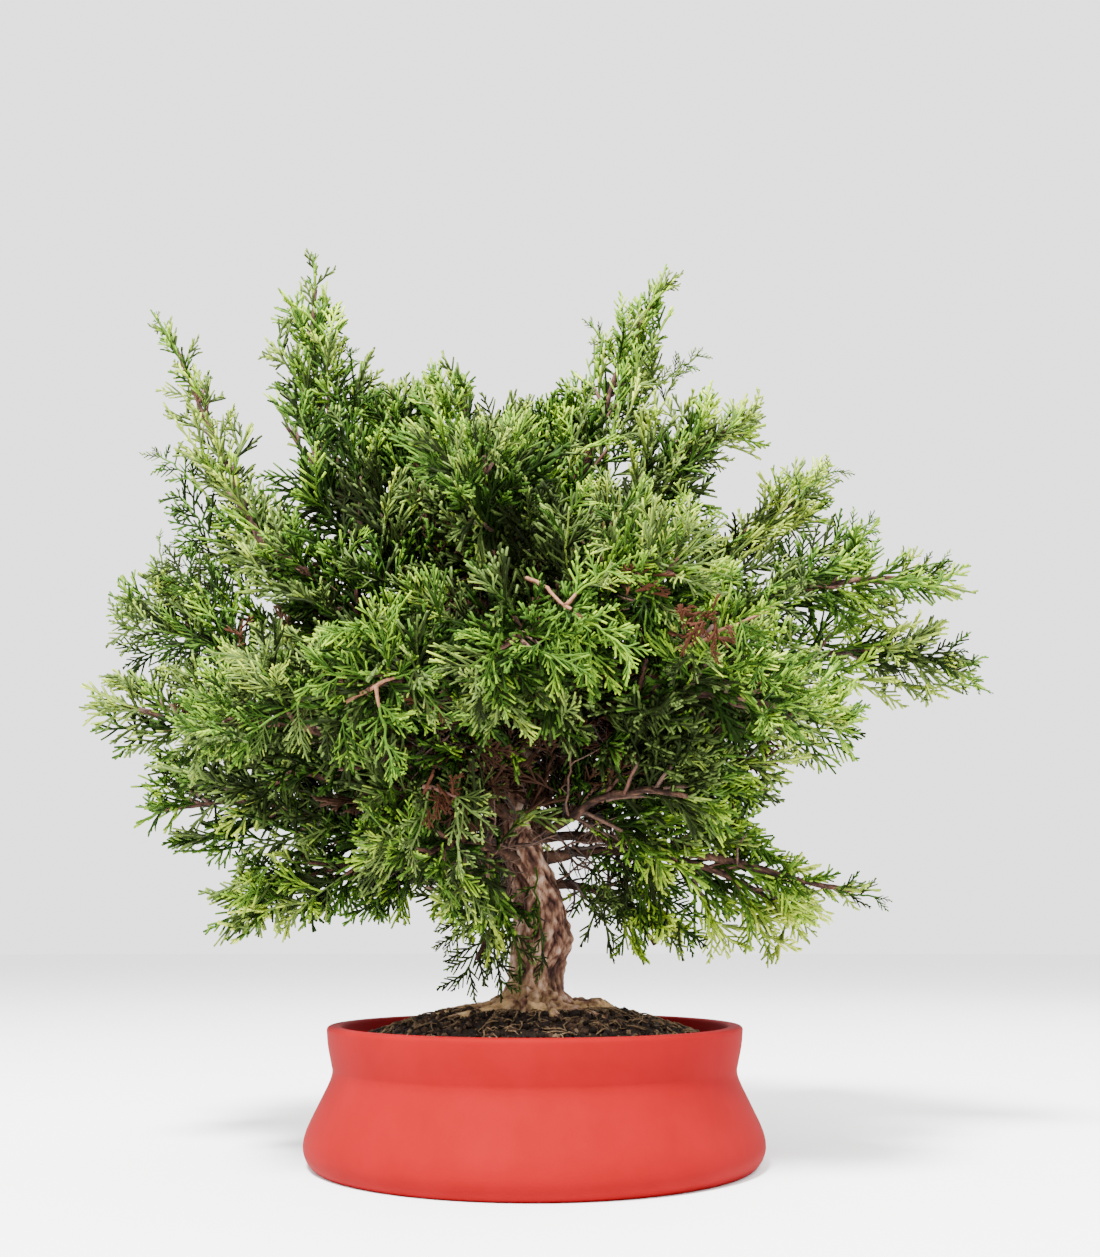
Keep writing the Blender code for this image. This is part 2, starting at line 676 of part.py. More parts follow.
def main():
    for old in list(bpy.data.objects):
        bpy.data.objects.remove(old)
    parts = new_collection("juniper_bonsai")
    cutters = new_collection("cutters")
    build_pot(parts, cutters)
    build_soil(parts)
    around = build_trunk(parts, cutters)
    curves = [limb_curve(limb) for limb in LIMBS]
    space = Space(LIMBS, curves)
    meshes = {"blade": blade_mesh(), "twig": twig_mesh()}
    for index, (limb, curve) in enumerate(zip(LIMBS, curves)):
        if limb.wood:
            build_bough(limb, curve, around, parts)
        build_mass(limb, curve, index, space, meshes, around, parts)


main()
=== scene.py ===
"""Looks of the Itoigawa juniper bonsai: bark, twigs, foliage, soil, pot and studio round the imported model.

Sizes are millimetres, turned into metres where meshes are made. The limbs and the rule by which twigs
branch are those of the CAD source, written again here and carried on to finer twigs. A leader is a twig
that grows from a limb, a spray is a small plume of cords on a leader, and a cord is one shoot of overlapping
scale leaves, 0.8 mm thick in front and up to 1.4 mm in the shade.
"""

import math
import random
from collections import namedtuple

import bmesh
import bpy
import numpy as np
from mathutils import Matrix, Vector, noise


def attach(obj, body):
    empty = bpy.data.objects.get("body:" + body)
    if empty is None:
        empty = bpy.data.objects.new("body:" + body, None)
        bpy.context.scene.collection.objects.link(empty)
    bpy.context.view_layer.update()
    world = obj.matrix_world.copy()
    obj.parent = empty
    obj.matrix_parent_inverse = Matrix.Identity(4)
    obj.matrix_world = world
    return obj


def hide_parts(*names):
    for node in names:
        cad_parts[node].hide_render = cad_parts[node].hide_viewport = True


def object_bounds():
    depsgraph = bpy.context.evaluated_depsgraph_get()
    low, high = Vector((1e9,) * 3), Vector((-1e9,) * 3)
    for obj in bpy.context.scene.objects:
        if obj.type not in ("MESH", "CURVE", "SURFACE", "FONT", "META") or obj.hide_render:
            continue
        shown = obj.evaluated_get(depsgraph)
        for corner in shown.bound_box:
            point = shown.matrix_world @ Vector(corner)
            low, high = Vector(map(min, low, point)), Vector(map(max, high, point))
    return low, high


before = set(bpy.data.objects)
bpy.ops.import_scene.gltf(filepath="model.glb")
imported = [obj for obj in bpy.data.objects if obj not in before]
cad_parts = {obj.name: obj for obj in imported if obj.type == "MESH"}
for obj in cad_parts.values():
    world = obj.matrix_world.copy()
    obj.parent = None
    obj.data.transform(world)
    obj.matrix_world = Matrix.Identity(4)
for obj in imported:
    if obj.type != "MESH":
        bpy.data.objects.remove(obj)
CAD_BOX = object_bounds()

MM = 0.001
TURN = 2 * math.pi
UP = np.array([0.0, 0.0, 1.0])

# Pot and soil, as in the CAD
POT_HEIGHT = 42.0
RIM_R = 67.9
WAIST_R, WAIST_Z = 65.6, 27.5
BELLY_R, BELLY_Z = 73.9, 6.0
FOOT_R = 70.5
WALL = 5.0
FLOOR = 5.5
LIP = 1.2
DRAIN_R, DRAIN_X = 6.0, 34.0
POT_STEPS = 180
SOIL_SIDE = ((0.0, 46.5), (27.0, 46.5), (41.0, 43.1), (56.9, 37.8), (61.6, 35.2))
SOIL_GRAIN = 0.9
SOIL_SUNK = 0.6  # how far the bed's lumps lie below the mound, on the whole
GRANULES, LITTER = 3600, 260
EDGE_SPARE = 0.6  # what granules keep clear of the pot's wall

# Trunk, as in the CAD: axis points (x, y, z) with the radius there
GROUND_Z = 46.8
TRUNK_AXIS = (
    ((-0.5, 0.0, GROUND_Z), 9.0),
    ((0.0, 0.0, 58.0), 8.6),
    ((0.8, -0.5, 70.0), 8.7),
    ((1.0, -1.0, 82.0), 8.2),
    ((-3.8, 0.0, 97.0), 7.2),
    ((-6.0, 2.0, 116.0), 6.2),
    ((-7.0, 3.0, 150.0), 4.6),
    ((-5.0, 1.0, 194.0), 2.4),
)
FLARE_HEIGHT, FLARE_FADE = 11.0, 3.2
ROOTS = ((-8, 11.0, 22), (176, 6.0, 26), (-70, 5.0, 24), (-128, 5.5, 22), (70, 6.5, 26), (122, 5.5, 24))
KNOT_DIRECTION, KNOT_Z, KNOT_SIZE = -5.0, 68.0, 2.6
KNOT_WIDTH, KNOT_HEIGHT = 42, 7
FLUTES, FLUTE_DEPTH = 3, 0.35
TRUNK_SUNK = 1.2  # how far the bark's mesh reaches into the soil
TRUNK_RELIEF = 2.6  # how far strips of bark stand out where the trunk is thick
SURFACE_ROOTS = (  # points and radii along each
    (((-2, -8, 50), (0, -16, 47.2), (5, -23, 46.0), (9, -30, 44.6)), (4.5, 2.9, 2.1, 0.8)),
    (((3, -7, 50), (9, -14, 47.0), (16, -19, 46.0), (23, -22, 45.0)), (4.2, 2.6, 1.6, 0.7)),
    (((-6, -6, 50), (-12, -13, 47.0), (-19, -18, 46.0), (-27, -21, 45.0)), (4.2, 2.4, 1.4, 0.6)),
    (((7, 0, 49), (14, -3, 47.4), (21, -5, 47.6), (25, -6, 46.2)), (3.6, 2.6, 2.8, 1.8)),
    (((-8, 0, 49), (-16, -2, 47.0), (-25, -3, 46.2), (-33, -5, 44.8)), (3.8, 2.4, 1.5, 0.6)),
)
ROOT_RELIEF, BOUGH_RELIEF = 0.9, 0.55  # the same, as shares of a root's or bough's radius

# Limbs, as in the CAD
Limb = namedtuple("Limb", "name foot tip rise slope bare reach wood blades")
LIMBS = (
    Limb("left_leader", 124.5, (-142, -10, 297), 14, 60, 0.28, 27, 3.0, 15),
    Limb("left_high", 113, (-157, 12, 194), 16, 26, 0.28, 34, 2.6, 15),
    Limb("left_low", 104.5, (-150, -20, 149), 9, 12, 0.28, 33, 2.6, 14),
    Limb("left_skirt", 97.5, (-143, 16, 111), 6, -20, 0.3, 33, 2.4, 14),
    Limb("left_drop", 90, (-102, -10, 70), 14, -58, 0.3, 29, 2.2, 11),
    Limb("left_under", 83, (-66, 14, 82), 8, -58, 0.3, 22, 0, 7),
    Limb("left_front", 109.3, (-100, -74, 130), 18, -12, 0.3, 40, 2.6, 12),
    Limb("front_left", 129.5, (-50, -92, 132), 22, -40, 0.28, 40, 0, 12),
    Limb("front_low", 93, (-38, -64, 87), 16, -34, 0.26, 34, 0, 11),
    Limb("trunk_spray", 80, (-19, -23, 59), 6, -72, 0.3, 15, 0, 5),
    Limb("front_centre", 143.5, (-2, -108, 142), 26, -38, 0.28, 40, 2.4, 12),
    Limb("front_right", 157, (44, -98, 170), 26, -10, 0.28, 40, 2.4, 12),
    Limb("front_top", 171, (-16, -84, 216), 48, 46, 0.28, 40, 0, 12),
    Limb("right_front", 134, (76, -82, 130), 20, -26, 0.3, 40, 2.6, 12),
    Limb("front_low_right", 101, (50, -62, 108), 14, -30, 0.28, 36, 0, 12),
    Limb("low_right", 94.5, (91, -4, 70), 16, -48, 0.3, 32, 2.6, 11),
    Limb("low_right_tip", 101.5, (113, -22, 83), 9, -4, 0.5, 18, 0, 7),
    Limb("low_right_drop", 87.5, (42, 12, 64), 8, -68, 0.3, 22, 0, 7),
    Limb("right_skirt", 107, (90, 20, 118), 18, -32, 0.32, 32, 0, 11),
    Limb("right_low", 114, (110, -26, 139), 22, -8, 0.3, 31, 0, 12),
    Limb("right_far", 121, (163, 6, 157), 33, -32, 0.34, 26, 2.8, 13),
    Limb("right_upper", 138.8, (153, -12, 188), 38, -14, 0.32, 28, 2.6, 13),
    Limb("right_mid", 146.6, (115, 20, 239), 36, 28, 0.3, 30, 2.4, 13),
    Limb("right_high", 164.5, (84, -10, 252), 50, 8, 0.28, 31, 2.2, 12),
    Limb("apex_right", 175.5, (53, 4, 321), 62, 56, 0.26, 28, 2.4, 15),
    Limb("top_centre", 192.5, (10, 14, 268), 84, 84, 0.12, 32, 0, 12),
    Limb("top_left", 183, (-28, -8, 274), 40, 80, 0.24, 33, 0, 13),
    Limb("crown_left", 169, (-57, 8, 274), 50, 80, 0.26, 34, 0, 14),
    Limb("left_shoulder", 161.5, (-94, -24, 252), 36, 52, 0.3, 32, 2.2, 12),
    Limb("left_inner", 138, (-96, -34, 200), 26, 24, 0.28, 32, 0, 12),
    Limb("apex_left", 149.3, (-84, 4, 328), 38, 96, 0.3, 30, 2.6, 15),
    Limb("back_left", 118.5, (-102, 80, 168), 22, 8, 0.28, 42, 2.6, 12),
    Limb("back_centre", 134, (-6, 110, 152), 26, -6, 0.28, 42, 2.6, 12),
    Limb("back_right", 128.5, (98, 84, 166), 24, 4, 0.28, 42, 2.6, 12),
    Limb("back_top", 152.8, (10, 76, 240), 48, 46, 0.28, 44, 2.4, 13),
    Limb("back_low", 99, (-32, 86, 90), 14, -40, 0.28, 38, 0, 12),
)
LEAVE_PULL, END_PULL = 0.38, 0.34
BOUGH_TIP_R = 1.5
SHOOT_R = 1.8  # the foot of a limb that has no bough
STEM_END_R = 0.6
STEM_WOODY = 0.88  # the share of the stem that is wood
STEM_WANDER, STEM_SEED = 1.5, 1
GOLDEN_ANGLE = math.radians(137.5)
GOLDEN_STEP = 0.618034
SPREAD = (62, 30)

# Twigs
LEADER_STEP = 2.5
LEADER_R = (0.75, 0.45)
LEADER_LONGEST = 46.0
LEADER_SPARE = 7.0  # the room that a leader's end leaves for its sprays
GREEN_SHARE = 0.6  # the last share of a leader, where it is green and no longer woody
SPRAY_EVERY = 2.9
STEM_EVERY = 4.4  # between sprays on the stem itself
SLIM_EVERY = 3.6  # the same where foliage is slim
SLIM = 19.0  # where foliage spreads less than this round the stem, it bears small sprays and no leaders
TIP_REACH = 9.0  # the least that foliage spreads
TIP_SPRAY = 21.0  # how far before a limb's tip its last spray begins
SLENDER = {"left_leader": 0.38, "apex_right": 0.5, "apex_left": 0.2}  # how much narrower at the tip
START, LAST = -0.08, 0.93  # where leaders begin and end, as shares of the stem
TIP_SPARE = 1.5  # how far a spray may grow past its limb's tip
BOX_SPARE = 0.2  # what foliage keeps clear of the sides of the part's box
TRUNK_AT, TRUNK_CLEAR, TRUNK_OPEN = (-3.0, 0.5), 10.5, 120  # kept clear of foliage, up to a height
INNER_TWIGS = 14  # bare twigs on each limb's inner stretch
INNER_R = (0.55, 0.22)
FORKED_R = (0.36, 0.16)
INNER_LOW = 104.0  # below this height bare twigs stay among their limb's foliage
INNER_SEED, RUST_SEED, SHOOT_SEED, SOIL_SEED = 500, 700, 900, 77

# Cords and sprays. Ring is the length between a cord's rings, sparser how much wider apart cords stand.
Cords = namedtuple("Cords", "radius ring sparser")
FINE = Cords(0.40, 4.2, 1.0)
COARSE = Cords(0.55, 6.0, 1.2)  # inside the crown and behind its front
STOUT = Cords(0.72, 8.0, 1.6)  # in the deepest shade and in sprays that are drawn small
FRONT_Y = -45.0  # in front of this the sprays, which are seen from near, are of fine cords
TIP_STEPS = (0.62, 0.38)  # a side cord's two stretches, of which the last may be lighter
CORD_SIDES = 3
CORD_END = 2 * CORD_SIDES + 1  # triangles in a cord's last stretch
CORD_TAPER = 0.78
LIGHT_ENDS = 0.65  # how many of the cords have a lighter end
TONE_LUCK = 1.0  # how far a spray may stray from its place's tone, in steps of the ladder
Spray = namedtuple("Spray", "length width angle every fork_every")
FORK_ANGLE = 27
SPRAYS = {  # kind: its shape, and how many drawn variants of it there are
    "comb": (Spray(20.0, 0.36, 38, 1.4, 0), 22),
    "plume": (Spray(20.0, 0.42, 38, 2.2, 2.3), 20),
    "fan": (Spray(18.0, 0.60, 27, 1.8, 0), 14),
    "whip": (Spray(25.0, 0.17, 40, 1.8, 0), 10),
    "tuft": (Spray(11.0, 0.50, 36, 1.6, 0), 12),
    "small": (Spray(14.0, 0.38, 38, 1.6, 3.0), 14),
    "tip": (Spray(20.0, 0.30, 36, 3.0, 2.6), 10),
}

# Open places among the foliage: centre and half axes
CLEARINGS = (
    ((8, -78, 108), (40, 52, 17)),
    ((-91, 0, 236), (12, 60, 11)),
    ((-15, 0, 273), (10, 60, 16)),
    ((70, 0, 230), (8, 60, 11)),
    ((72, -5, 269), (16, 60, 6)),
    ((92, 0, 107), (13, 60, 11)),
    ((87, 0, 162), (8, 60, 5)),
    ((-55, -10, 65), (38, 70, 9)),
    ((-38, -20, 71), (12, 40, 5)),
    ((19, -10, 71), (9, 40, 7)),
)
# Single shoots: a twig from root to tip with sprays on both sides, of one of the ladder's steps. It is bare
# for a share of its length and bends up by sag in its middle. Kind None leaves the twig bare.
Shoot = namedtuple("Shoot", "root tip tone every scale bare sag kind twig", defaults=(0.0, 0.0, "comb", None))
# Pink twigs, on shoots in front, are painted light; dark twigs, under the crown, are painted shade.
SHOOTS = (
    Shoot((-54, -82, 134), (-34, -91, 141), 2, 2.5, 0.63, 0.8, 1.5, "fan", "twig_pink_painted_light"),
    Shoot((-44, -88, 138), (-38, -94, 114), 2, 3.2, 0.56, 0.2, 0.0, "comb", "twig_pink_painted_light"),
    Shoot((-36, -90, 141), (-24, -96, 128), 2, 3.2, 0.59, 0.0, 1.0),
    Shoot((-2, -80, 172), (9, -97, 159), 2, 3.0, 0.63, 1.0, 1.0, None, "twig_pink_painted_light"),
    Shoot((9, -97, 159), (27, -103, 143), 3, 3.4, 0.68, 0.3, 1.5, "comb", "twig_pink_painted_light"),
    Shoot((9, -97, 159), (22, -101, 169), 3, 3.4, 0.63, 0.25, 1.0, "comb", "twig_pink_painted_light"),
    Shoot((9, -97, 159), (1, -103, 145), 2, 3.4, 0.59, 0.1),
    Shoot((10, -96, 158), (16, -104, 150), 2, 3.4, 0.63, 0.0, 0.0, "plume"),
    Shoot((40, -76, 151), (82, -66, 173), 2, 3.6, 0.68, 0.7, -2.0, "comb", "twig_pink_painted_light"),
    Shoot((60, -80, 160), (66, -84, 140), 2, 3.2, 0.56, 0.1),
    Shoot((52, -82, 157), (40, -92, 142), 1, 3.2, 0.59, 0.4, 0.0, "comb", "twig_red"),
    Shoot((-17, -14, 94), (-11, -18, 56), 1, 2.8, 0.72, 0.1, -1.0),
    Shoot((-12, -17, 90), (-4, -22, 62), 1, 2.8, 0.7, 0.1),
    Shoot((0, -14, 92), (3, -20, 62), 1, 3.4, 0.6, 0.2),
    Shoot((-15, -18, 84), (-27, -24, 68), 1, 2.8, 0.62, 0.1, 1.5),
    Shoot((12, -10, 99), (38, -14, 97), 1, 3.0, 0.85, 0.7, 1.0, "comb", "twig_dark_painted_shade"),
    Shoot((18, -10, 98), (27, -12, 78), 1, 3.0, 0.8, 0.1),
    Shoot((28, -12, 98), (37, -12, 76), 1, 3.0, 0.85, 0.1),
    Shoot((12, -8, 88), (26, -10, 70), 1, 3.4, 0.75, 0.4, 1.0, "comb", "twig_dark_painted_shade"),
    Shoot((36, -10, 92), (50, -8, 70), 1, 3.0, 0.85),
    Shoot((-13, -18, 80), (-22, -22, 58), 1, 2.8, 0.72, 0.1),
    Shoot((-16, -18, 90), (-34, -30, 85), 1, 3.0, 0.54, 1.0, -4.0, None, "twig_brown"),
    Shoot((-32, -70, 112), (-12, -78, 100), 2, 3.0, 0.63, 0.5, 2.0, "comb", "twig_red"),
    Shoot((-30, -74, 110), (-34, -80, 92), 2, 3.2, 0.59, 0.1),
    Shoot((-22, -74, 108), (-20, -82, 88), 2, 3.2, 0.56, 0.1),
    Shoot((-134, 6, 188), (-139, 6, 213), 2, 3.2, 0.36, 0.15),
    Shoot((-136, 5, 196), (-128, 3, 206), 2, 3.0, 0.36, 0.2),
    Shoot((-121, -6, 226), (-140, 0, 243), 2, 2.8, 0.55, 0.15, 1.0),
    Shoot((-112, -4, 204), (-130, 0, 226), 1, 2.8, 0.8, 0.1, 0.0, "plume"),
    Shoot((-100, 0, 188), (-122, 2, 208), 1, 2.6, 0.9, 0.0, 0.0, "plume"),
    Shoot((-106, -10, 180), (-130, -4, 198), 1, 2.6, 0.9),
    Shoot((-104, 8, 200), (-112, 4, 222), 1, 2.6, 0.8),
    Shoot((-112, -5, 169), (-146, -5, 176), 2, 2.8, 0.85, 0.0, 1.0),
    Shoot((-116, 4, 176), (-142, 2, 166), 1, 2.8, 0.85),
    Shoot((86, 0, 194), (112, 0, 212), 1, 2.8, 0.85),
    Shoot((118, 2, 164), (150, 2, 168), 1, 2.8, 0.8, 0.0, 1.0),
    Shoot((24, 0, 226), (38, -2, 254), 2, 2.8, 0.9, 0.0, 0.0, "plume"),
    Shoot((-64, -66, 142), (-84, -78, 124), 2, 2.8, 0.9),
    Shoot((-80, -62, 140), (-98, -74, 124), 2, 2.8, 0.9),
    Shoot((-118, -7, 250), (-142, -9, 295), 2, 3.4, 0.42, 0.0, 3.0, "tuft"),
    Shoot((148, 4, 158), (161, 4, 154), 2, 3.0, 0.42, 0.0, 0.5, "tuft"),
    Shoot((86, 0, 176), (96, 0, 163), 1, 3.0, 0.5, 0.0, 0.5),
    Shoot((98, -22, 84), (110, -24, 82), 1, 3.4, 0.5),
    Shoot((44, 0, 268), (60, -4, 281), 2, 3.4, 0.45, 0.15, 0.5),
    Shoot((46, 2, 262), (54, 0, 277), 2, 3.4, 0.45, 0.15),
    Shoot((32, 0, 274), (20, 2, 297), 2, 3.6, 0.45, 0.15, 1.0),
    Shoot((94, -2, 224), (110, 0, 236), 2, 3.6, 0.5, 0.1, 1.5),
    Shoot((104, -8, 204), (120, -6, 214), 2, 3.6, 0.5, 0.1, 1.0),
    Shoot((128, -8, 194), (144, -10, 198), 2, 3.6, 0.45, 0.1, 0.5),
    Shoot((-81, 2, 272), (-69, 0, 284), 2, 3.4, 0.45, 0.1),
    Shoot((-78, 2, 258), (-62, 0, 271), 1, 3.4, 0.54, 0.1),
)
# Clumps of dead reddish scales: centre, half width and how many tufts
RUSTY = (
    ((48, -92, 154), 8.0, 18),
    ((30, -94, 166), 5.0, 8),
    ((72, -58, 144), 5.0, 6),
    ((-26, -74, 109), 6.0, 12),
    ((-30, -88, 133), 3.0, 3),
    ((-118, -14, 148), 4.0, 4),
    ((-96, -30, 166), 4.0, 4),
    ((-84, -36, 158), 5.0, 5),
)

# Colours, linear. The ladder runs from shaded old foliage to fresh tips, in a vivid and a dull green each; a
# spray's step on it is partly painted light and shade.
HUES = ("vivid", "dull")
LADDER = {
    "foliage_deep": ((0.0060, 0.0150, 0.0015), (0.0095, 0.0150, 0.0034)),
    "foliage_dark": ((0.0170, 0.0440, 0.0040), (0.0280, 0.0450, 0.0090)),
    "foliage_green": ((0.0530, 0.1120, 0.0120), (0.0730, 0.1120, 0.0260)),
    "foliage_fresh": ((0.1220, 0.2160, 0.0135), (0.1520, 0.2150, 0.0290)),
    "foliage_light": ((0.2400, 0.3650, 0.0190), (0.2800, 0.3600, 0.0320)),
    "foliage_pale": ((0.4100, 0.5350, 0.0500), (0.4450, 0.5300, 0.0750)),
}
LADDER_NAMES = list(LADDER)
HUE_PATCH, HUE_SPECKLE = 0.035, 0.4  # how fine the hue's patches are, and the stray sprays in them, per mm
DEAD = {"foliage_rust": (0.046, 0.016, 0.008), "foliage_dead": (0.030, 0.014, 0.008)}
FOLIAGE = {f"{step}_{hue}": colour for step, pair in LADDER.items() for hue, colour in zip(HUES, pair)}
FOLIAGE.update(DEAD)
# Bark by relief: the bark's own red-brown and grey, darkest in the cracks and palest on the raised strips,
# partly as painted shade and highlight
TRUNK_BARK = (
    (0.62, (0.018, 0.007, 0.006)),
    (0.86, (0.105, 0.047, 0.030)),
    (1.04, (0.240, 0.130, 0.082)),
    (1.22, (0.390, 0.255, 0.185)),
    (1.45, (0.560, 0.450, 0.370)),
)
# Bark for the boughs, painted darker as the shade inside the crown
SHADED_BOUGH_BARK = (
    (0.55, (0.006, 0.003, 0.002)),
    (0.85, (0.022, 0.010, 0.007)),
    (1.10, (0.062, 0.030, 0.018)),
    (1.40, (0.150, 0.085, 0.052)),
)
FOOT_BARK = (0.52, 0.33, 0.15)  # ochre patches at the soil
FOOT_COLOUR_Z = (47.0, 58.0)
TWIG_LOOKS = {  # dark and light
    "twig_red": ((0.032, 0.010, 0.006), (0.110, 0.038, 0.020)),
    "twig_brown": ((0.026, 0.011, 0.006), (0.095, 0.044, 0.024)),
    # the dark twig is the red-brown twig painted darker as shade, the pink one painted lighter as light
    # falling on it
    "twig_dark_painted_shade": ((0.007, 0.003, 0.002), (0.034, 0.016, 0.010)),
    "twig_pink_painted_light": ((0.120, 0.042, 0.017), (0.230, 0.095, 0.042)),
}
POT_RED = ((0.165, 0.0008, 0.0020), (0.180, 0.0010, 0.0030))
BED_LOOK = ((0.005, 0.003, 0.0025), (0.028, 0.016, 0.010))
GRANULE_LOOKS = {
    "granules_dark": ((0.004, 0.0025, 0.002), (0.018, 0.011, 0.007)),
    "granules_brown": ((0.018, 0.009, 0.0055), (0.068, 0.038, 0.022)),
    "granules_tan": ((0.055, 0.033, 0.018), (0.160, 0.105, 0.058)),
}
LITTER_LOOK = ((0.060, 0.034, 0.017), (0.21, 0.135, 0.074))
PIECE_LIMIT = 190000  # triangles in one joined piece

# What gives a spray its step on the ladder as painted light and shade: weights, and the crown's middle and
# half axes
CROWN_CENTRE, CROWN_HALF = np.array([0.0, 0.0, 165.0]), np.array([150.0, 108.0, 150.0])
TONE_START, TONE_TOP = 2.2, 4.2
TONE_OUT, TONE_UP, TONE_SKIRT, TONE_RIGHT, TONE_WAY, TONE_BURIED = 1.6, 0.25, 1.6, 0.45, 0.4, 0.12
OUTMOST, LEAST_BURIED = 1.08, 8.0

# Studio, in metres and watts
FLOOR_R, FLOOR_GREY = 8.0, (0.9, 0.9, 0.9)
WORLD_STRENGTH = 2.4
LIGHTS = (("key", (-0.28, -0.70, 1.25), 0.3, 120.0), ("rim", (0.8, 0.5, 0.9), 0.7, 14.0))
LIT_POINT = (0, 0, 0.17)
CAMERA_AT, CAMERA_PITCH, LENS = (0.0049, -0.44, 0.068), 13.85, 36.5


def unit(vector):
    return vector / np.linalg.norm(vector)


def smooth_through(points, share):
    """A point on the Catmull-Rom curve through rows of numbers, share from 0 to 1 along it."""
    rows = np.asarray(points, float)
    rows = np.vstack([2 * rows[0] - rows[1], rows, 2 * rows[-1] - rows[-2]])
    place = min(max(share, 0.0), 1.0) * (len(rows) - 3)
    first = min(int(place), len(rows) - 4)
    t = place - first
    a, b, c, d = rows[first : first + 4]
    return 0.5 * (2 * b + (c - a) * t + (2 * a - 5 * b + 4 * c - d) * t * t + (3 * b - a - 3 * c + d) * t**3)


def side_of(direction, roll):
    """A unit vector at right angles to direction, turned by roll about it."""
    across = np.cross(direction, UP)
    if np.linalg.norm(across) < 1e-3:
        across = np.array([1.0, 0.0, 0.0])
    across = unit(across)
    return across * math.cos(roll) + np.cross(across, direction) * math.sin(roll)


def tilted(ahead, out, angle, lift=0.0):
    """The direction ahead turned towards out by an angle, and lifted."""
    return unit(ahead * math.cos(angle) + out * math.sin(angle) + UP * lift)


def step_way(path, k=-2):
    """A path's direction from its point k to the next, or where it ends."""
    return unit(path[k + 1] - path[k])


def jolt(chance, size):
    return np.array([chance.gauss(0, size) for _ in range(3)])


def placed(name, data):
    """A new object in the scene."""
    made = bpy.data.objects.new(name, data)
    bpy.context.scene.collection.objects.link(made)
    return made


def mesh_object(name, points, faces):
    """An object from arrays of points in millimetres and of triangles."""
    data = bpy.data.meshes.new(name)
    data.vertices.add(len(points))
    data.vertices.foreach_set("co", (np.asarray(points) * MM).astype(np.float32).ravel())
    data.loops.add(faces.size)
    data.loops.foreach_set("vertex_index", faces.astype(np.int32).ravel())
    data.polygons.add(len(faces))
    data.polygons.foreach_set("loop_start", np.arange(0, faces.size, 3, dtype=np.int32))
    data.update(calc_edges=True)
    return placed(name, data)


def mesh_from(shape, name):
    """Mesh data from a bmesh, which is freed."""
    data = bpy.data.meshes.new(name)
    shape.to_mesh(data)
    shape.free()
    return data


def finish_piece(made, material, smooth=True):
    """Gives a piece its material and the body it rides on, shading it smooth unless told not to."""
    made.data.materials.append(material)
    if smooth:
        made.data.shade_smooth()
    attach(made, "root")


def nodes_named(start):
    return [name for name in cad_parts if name.startswith(start)]


class Heap:
    """Points and faces of many small shapes, gathered to be joined into one mesh."""

    def __init__(self):
        self.points, self.faces, self.count = [], [], 0

    def add(self, points, faces):
        self.points.append(points)
        self.faces.append(faces + self.count)
        self.count += len(points)

    def triangles(self):
        return sum(len(faces) for faces in self.faces)

    def make(self, name):
        return mesh_object(name, np.vstack(self.points), np.vstack(self.faces))


def frames_along(path):
    """Two unit vectors across a path at each of its points, carried along it without twist."""
    ahead = np.gradient(path, axis=0)
    ahead /= np.linalg.norm(ahead, axis=1)[:, None]
    side = side_of(ahead[0], 0)
    sides = []
    for way in ahead:
        side = unit(side - way * side.dot(way))
        sides.append(side)
    return np.array(sides), np.cross(ahead, np.array(sides))


def rings_round(path, radii, sides, relief=0.0):
    """Rings of points round a path. Relief, a number for each point, adds to the radii."""
    across, over = frames_along(path)
    turns = np.arange(sides) * TURN / sides
    spokes = np.cos(turns)[:, None] * across[:, None] + np.sin(turns)[:, None] * over[:, None]
    reach = np.asarray(radii)[:, None] + relief
    return (path[:, None] + reach[..., None] * spokes).reshape(-1, 3)


def ring_faces(rings, sides):
    """Triangles from each ring of points to the next."""
    faces = []
    for k in range(rings - 1):
        for i in range(sides):
            a, b = k * sides + i, k * sides + (i + 1) % sides
            faces += [(a, b, b + sides), (a, b + sides, a + sides)]
    return faces


def closed_faces(rings, sides):
    """The same, closed by fans to the two last points, the foot and the top."""
    foot, last = rings * sides, (rings - 1) * sides
    faces = ring_faces(rings, sides)
    faces += [(foot, (i + 1) % sides, i) for i in range(sides)]
    faces += [(foot + 1, last + i, last + (i + 1) % sides) for i in range(sides)]
    return np.array(faces)


def tube(path, radii, sides, relief=0.0):
    """A closed tapering tube along a path, as points and triangles."""
    path = np.asarray(path, float)
    points = rings_round(path, radii, sides, relief)
    return np.vstack([points, path[:1], path[-1:]]), closed_faces(len(path), sides)


def cord(path, radii):
    """A shoot of scale leaves: a tube of few sides, open where it leaves its parent."""
    last = CORD_SIDES * (len(path) - 1)
    faces = ring_faces(len(path), CORD_SIDES) + [(last, last + 1, last + 2)]
    return rings_round(path, radii, CORD_SIDES), np.array(faces)


# Materials


def new_material(name, colour, roughness, specular=0.5):
    made = bpy.data.materials.new(name)
    made.use_nodes = True
    made.diffuse_color = (*colour, 1)
    shader = made.node_tree.nodes["Principled BSDF"]
    looks = {"Base Color": (*colour, 1), "Roughness": roughness, "Specular IOR Level": specular}
    set_inputs(made.node_tree, shader, looks)
    return made, made.node_tree, shader


def set_inputs(tree, node, inputs):
    """Sets a node's inputs, by name or number, or joins them to another node's output."""
    for key, value in inputs.items():
        if isinstance(value, bpy.types.NodeSocket):
            tree.links.new(value, node.inputs[key])
        else:
            node.inputs[key].default_value = value


def add_node(tree, kind, inputs, result):
    """The output named result of a new shader node."""
    node = tree.nodes.new(f"ShaderNode{kind}")
    set_inputs(tree, node, inputs)
    return node.outputs[result]


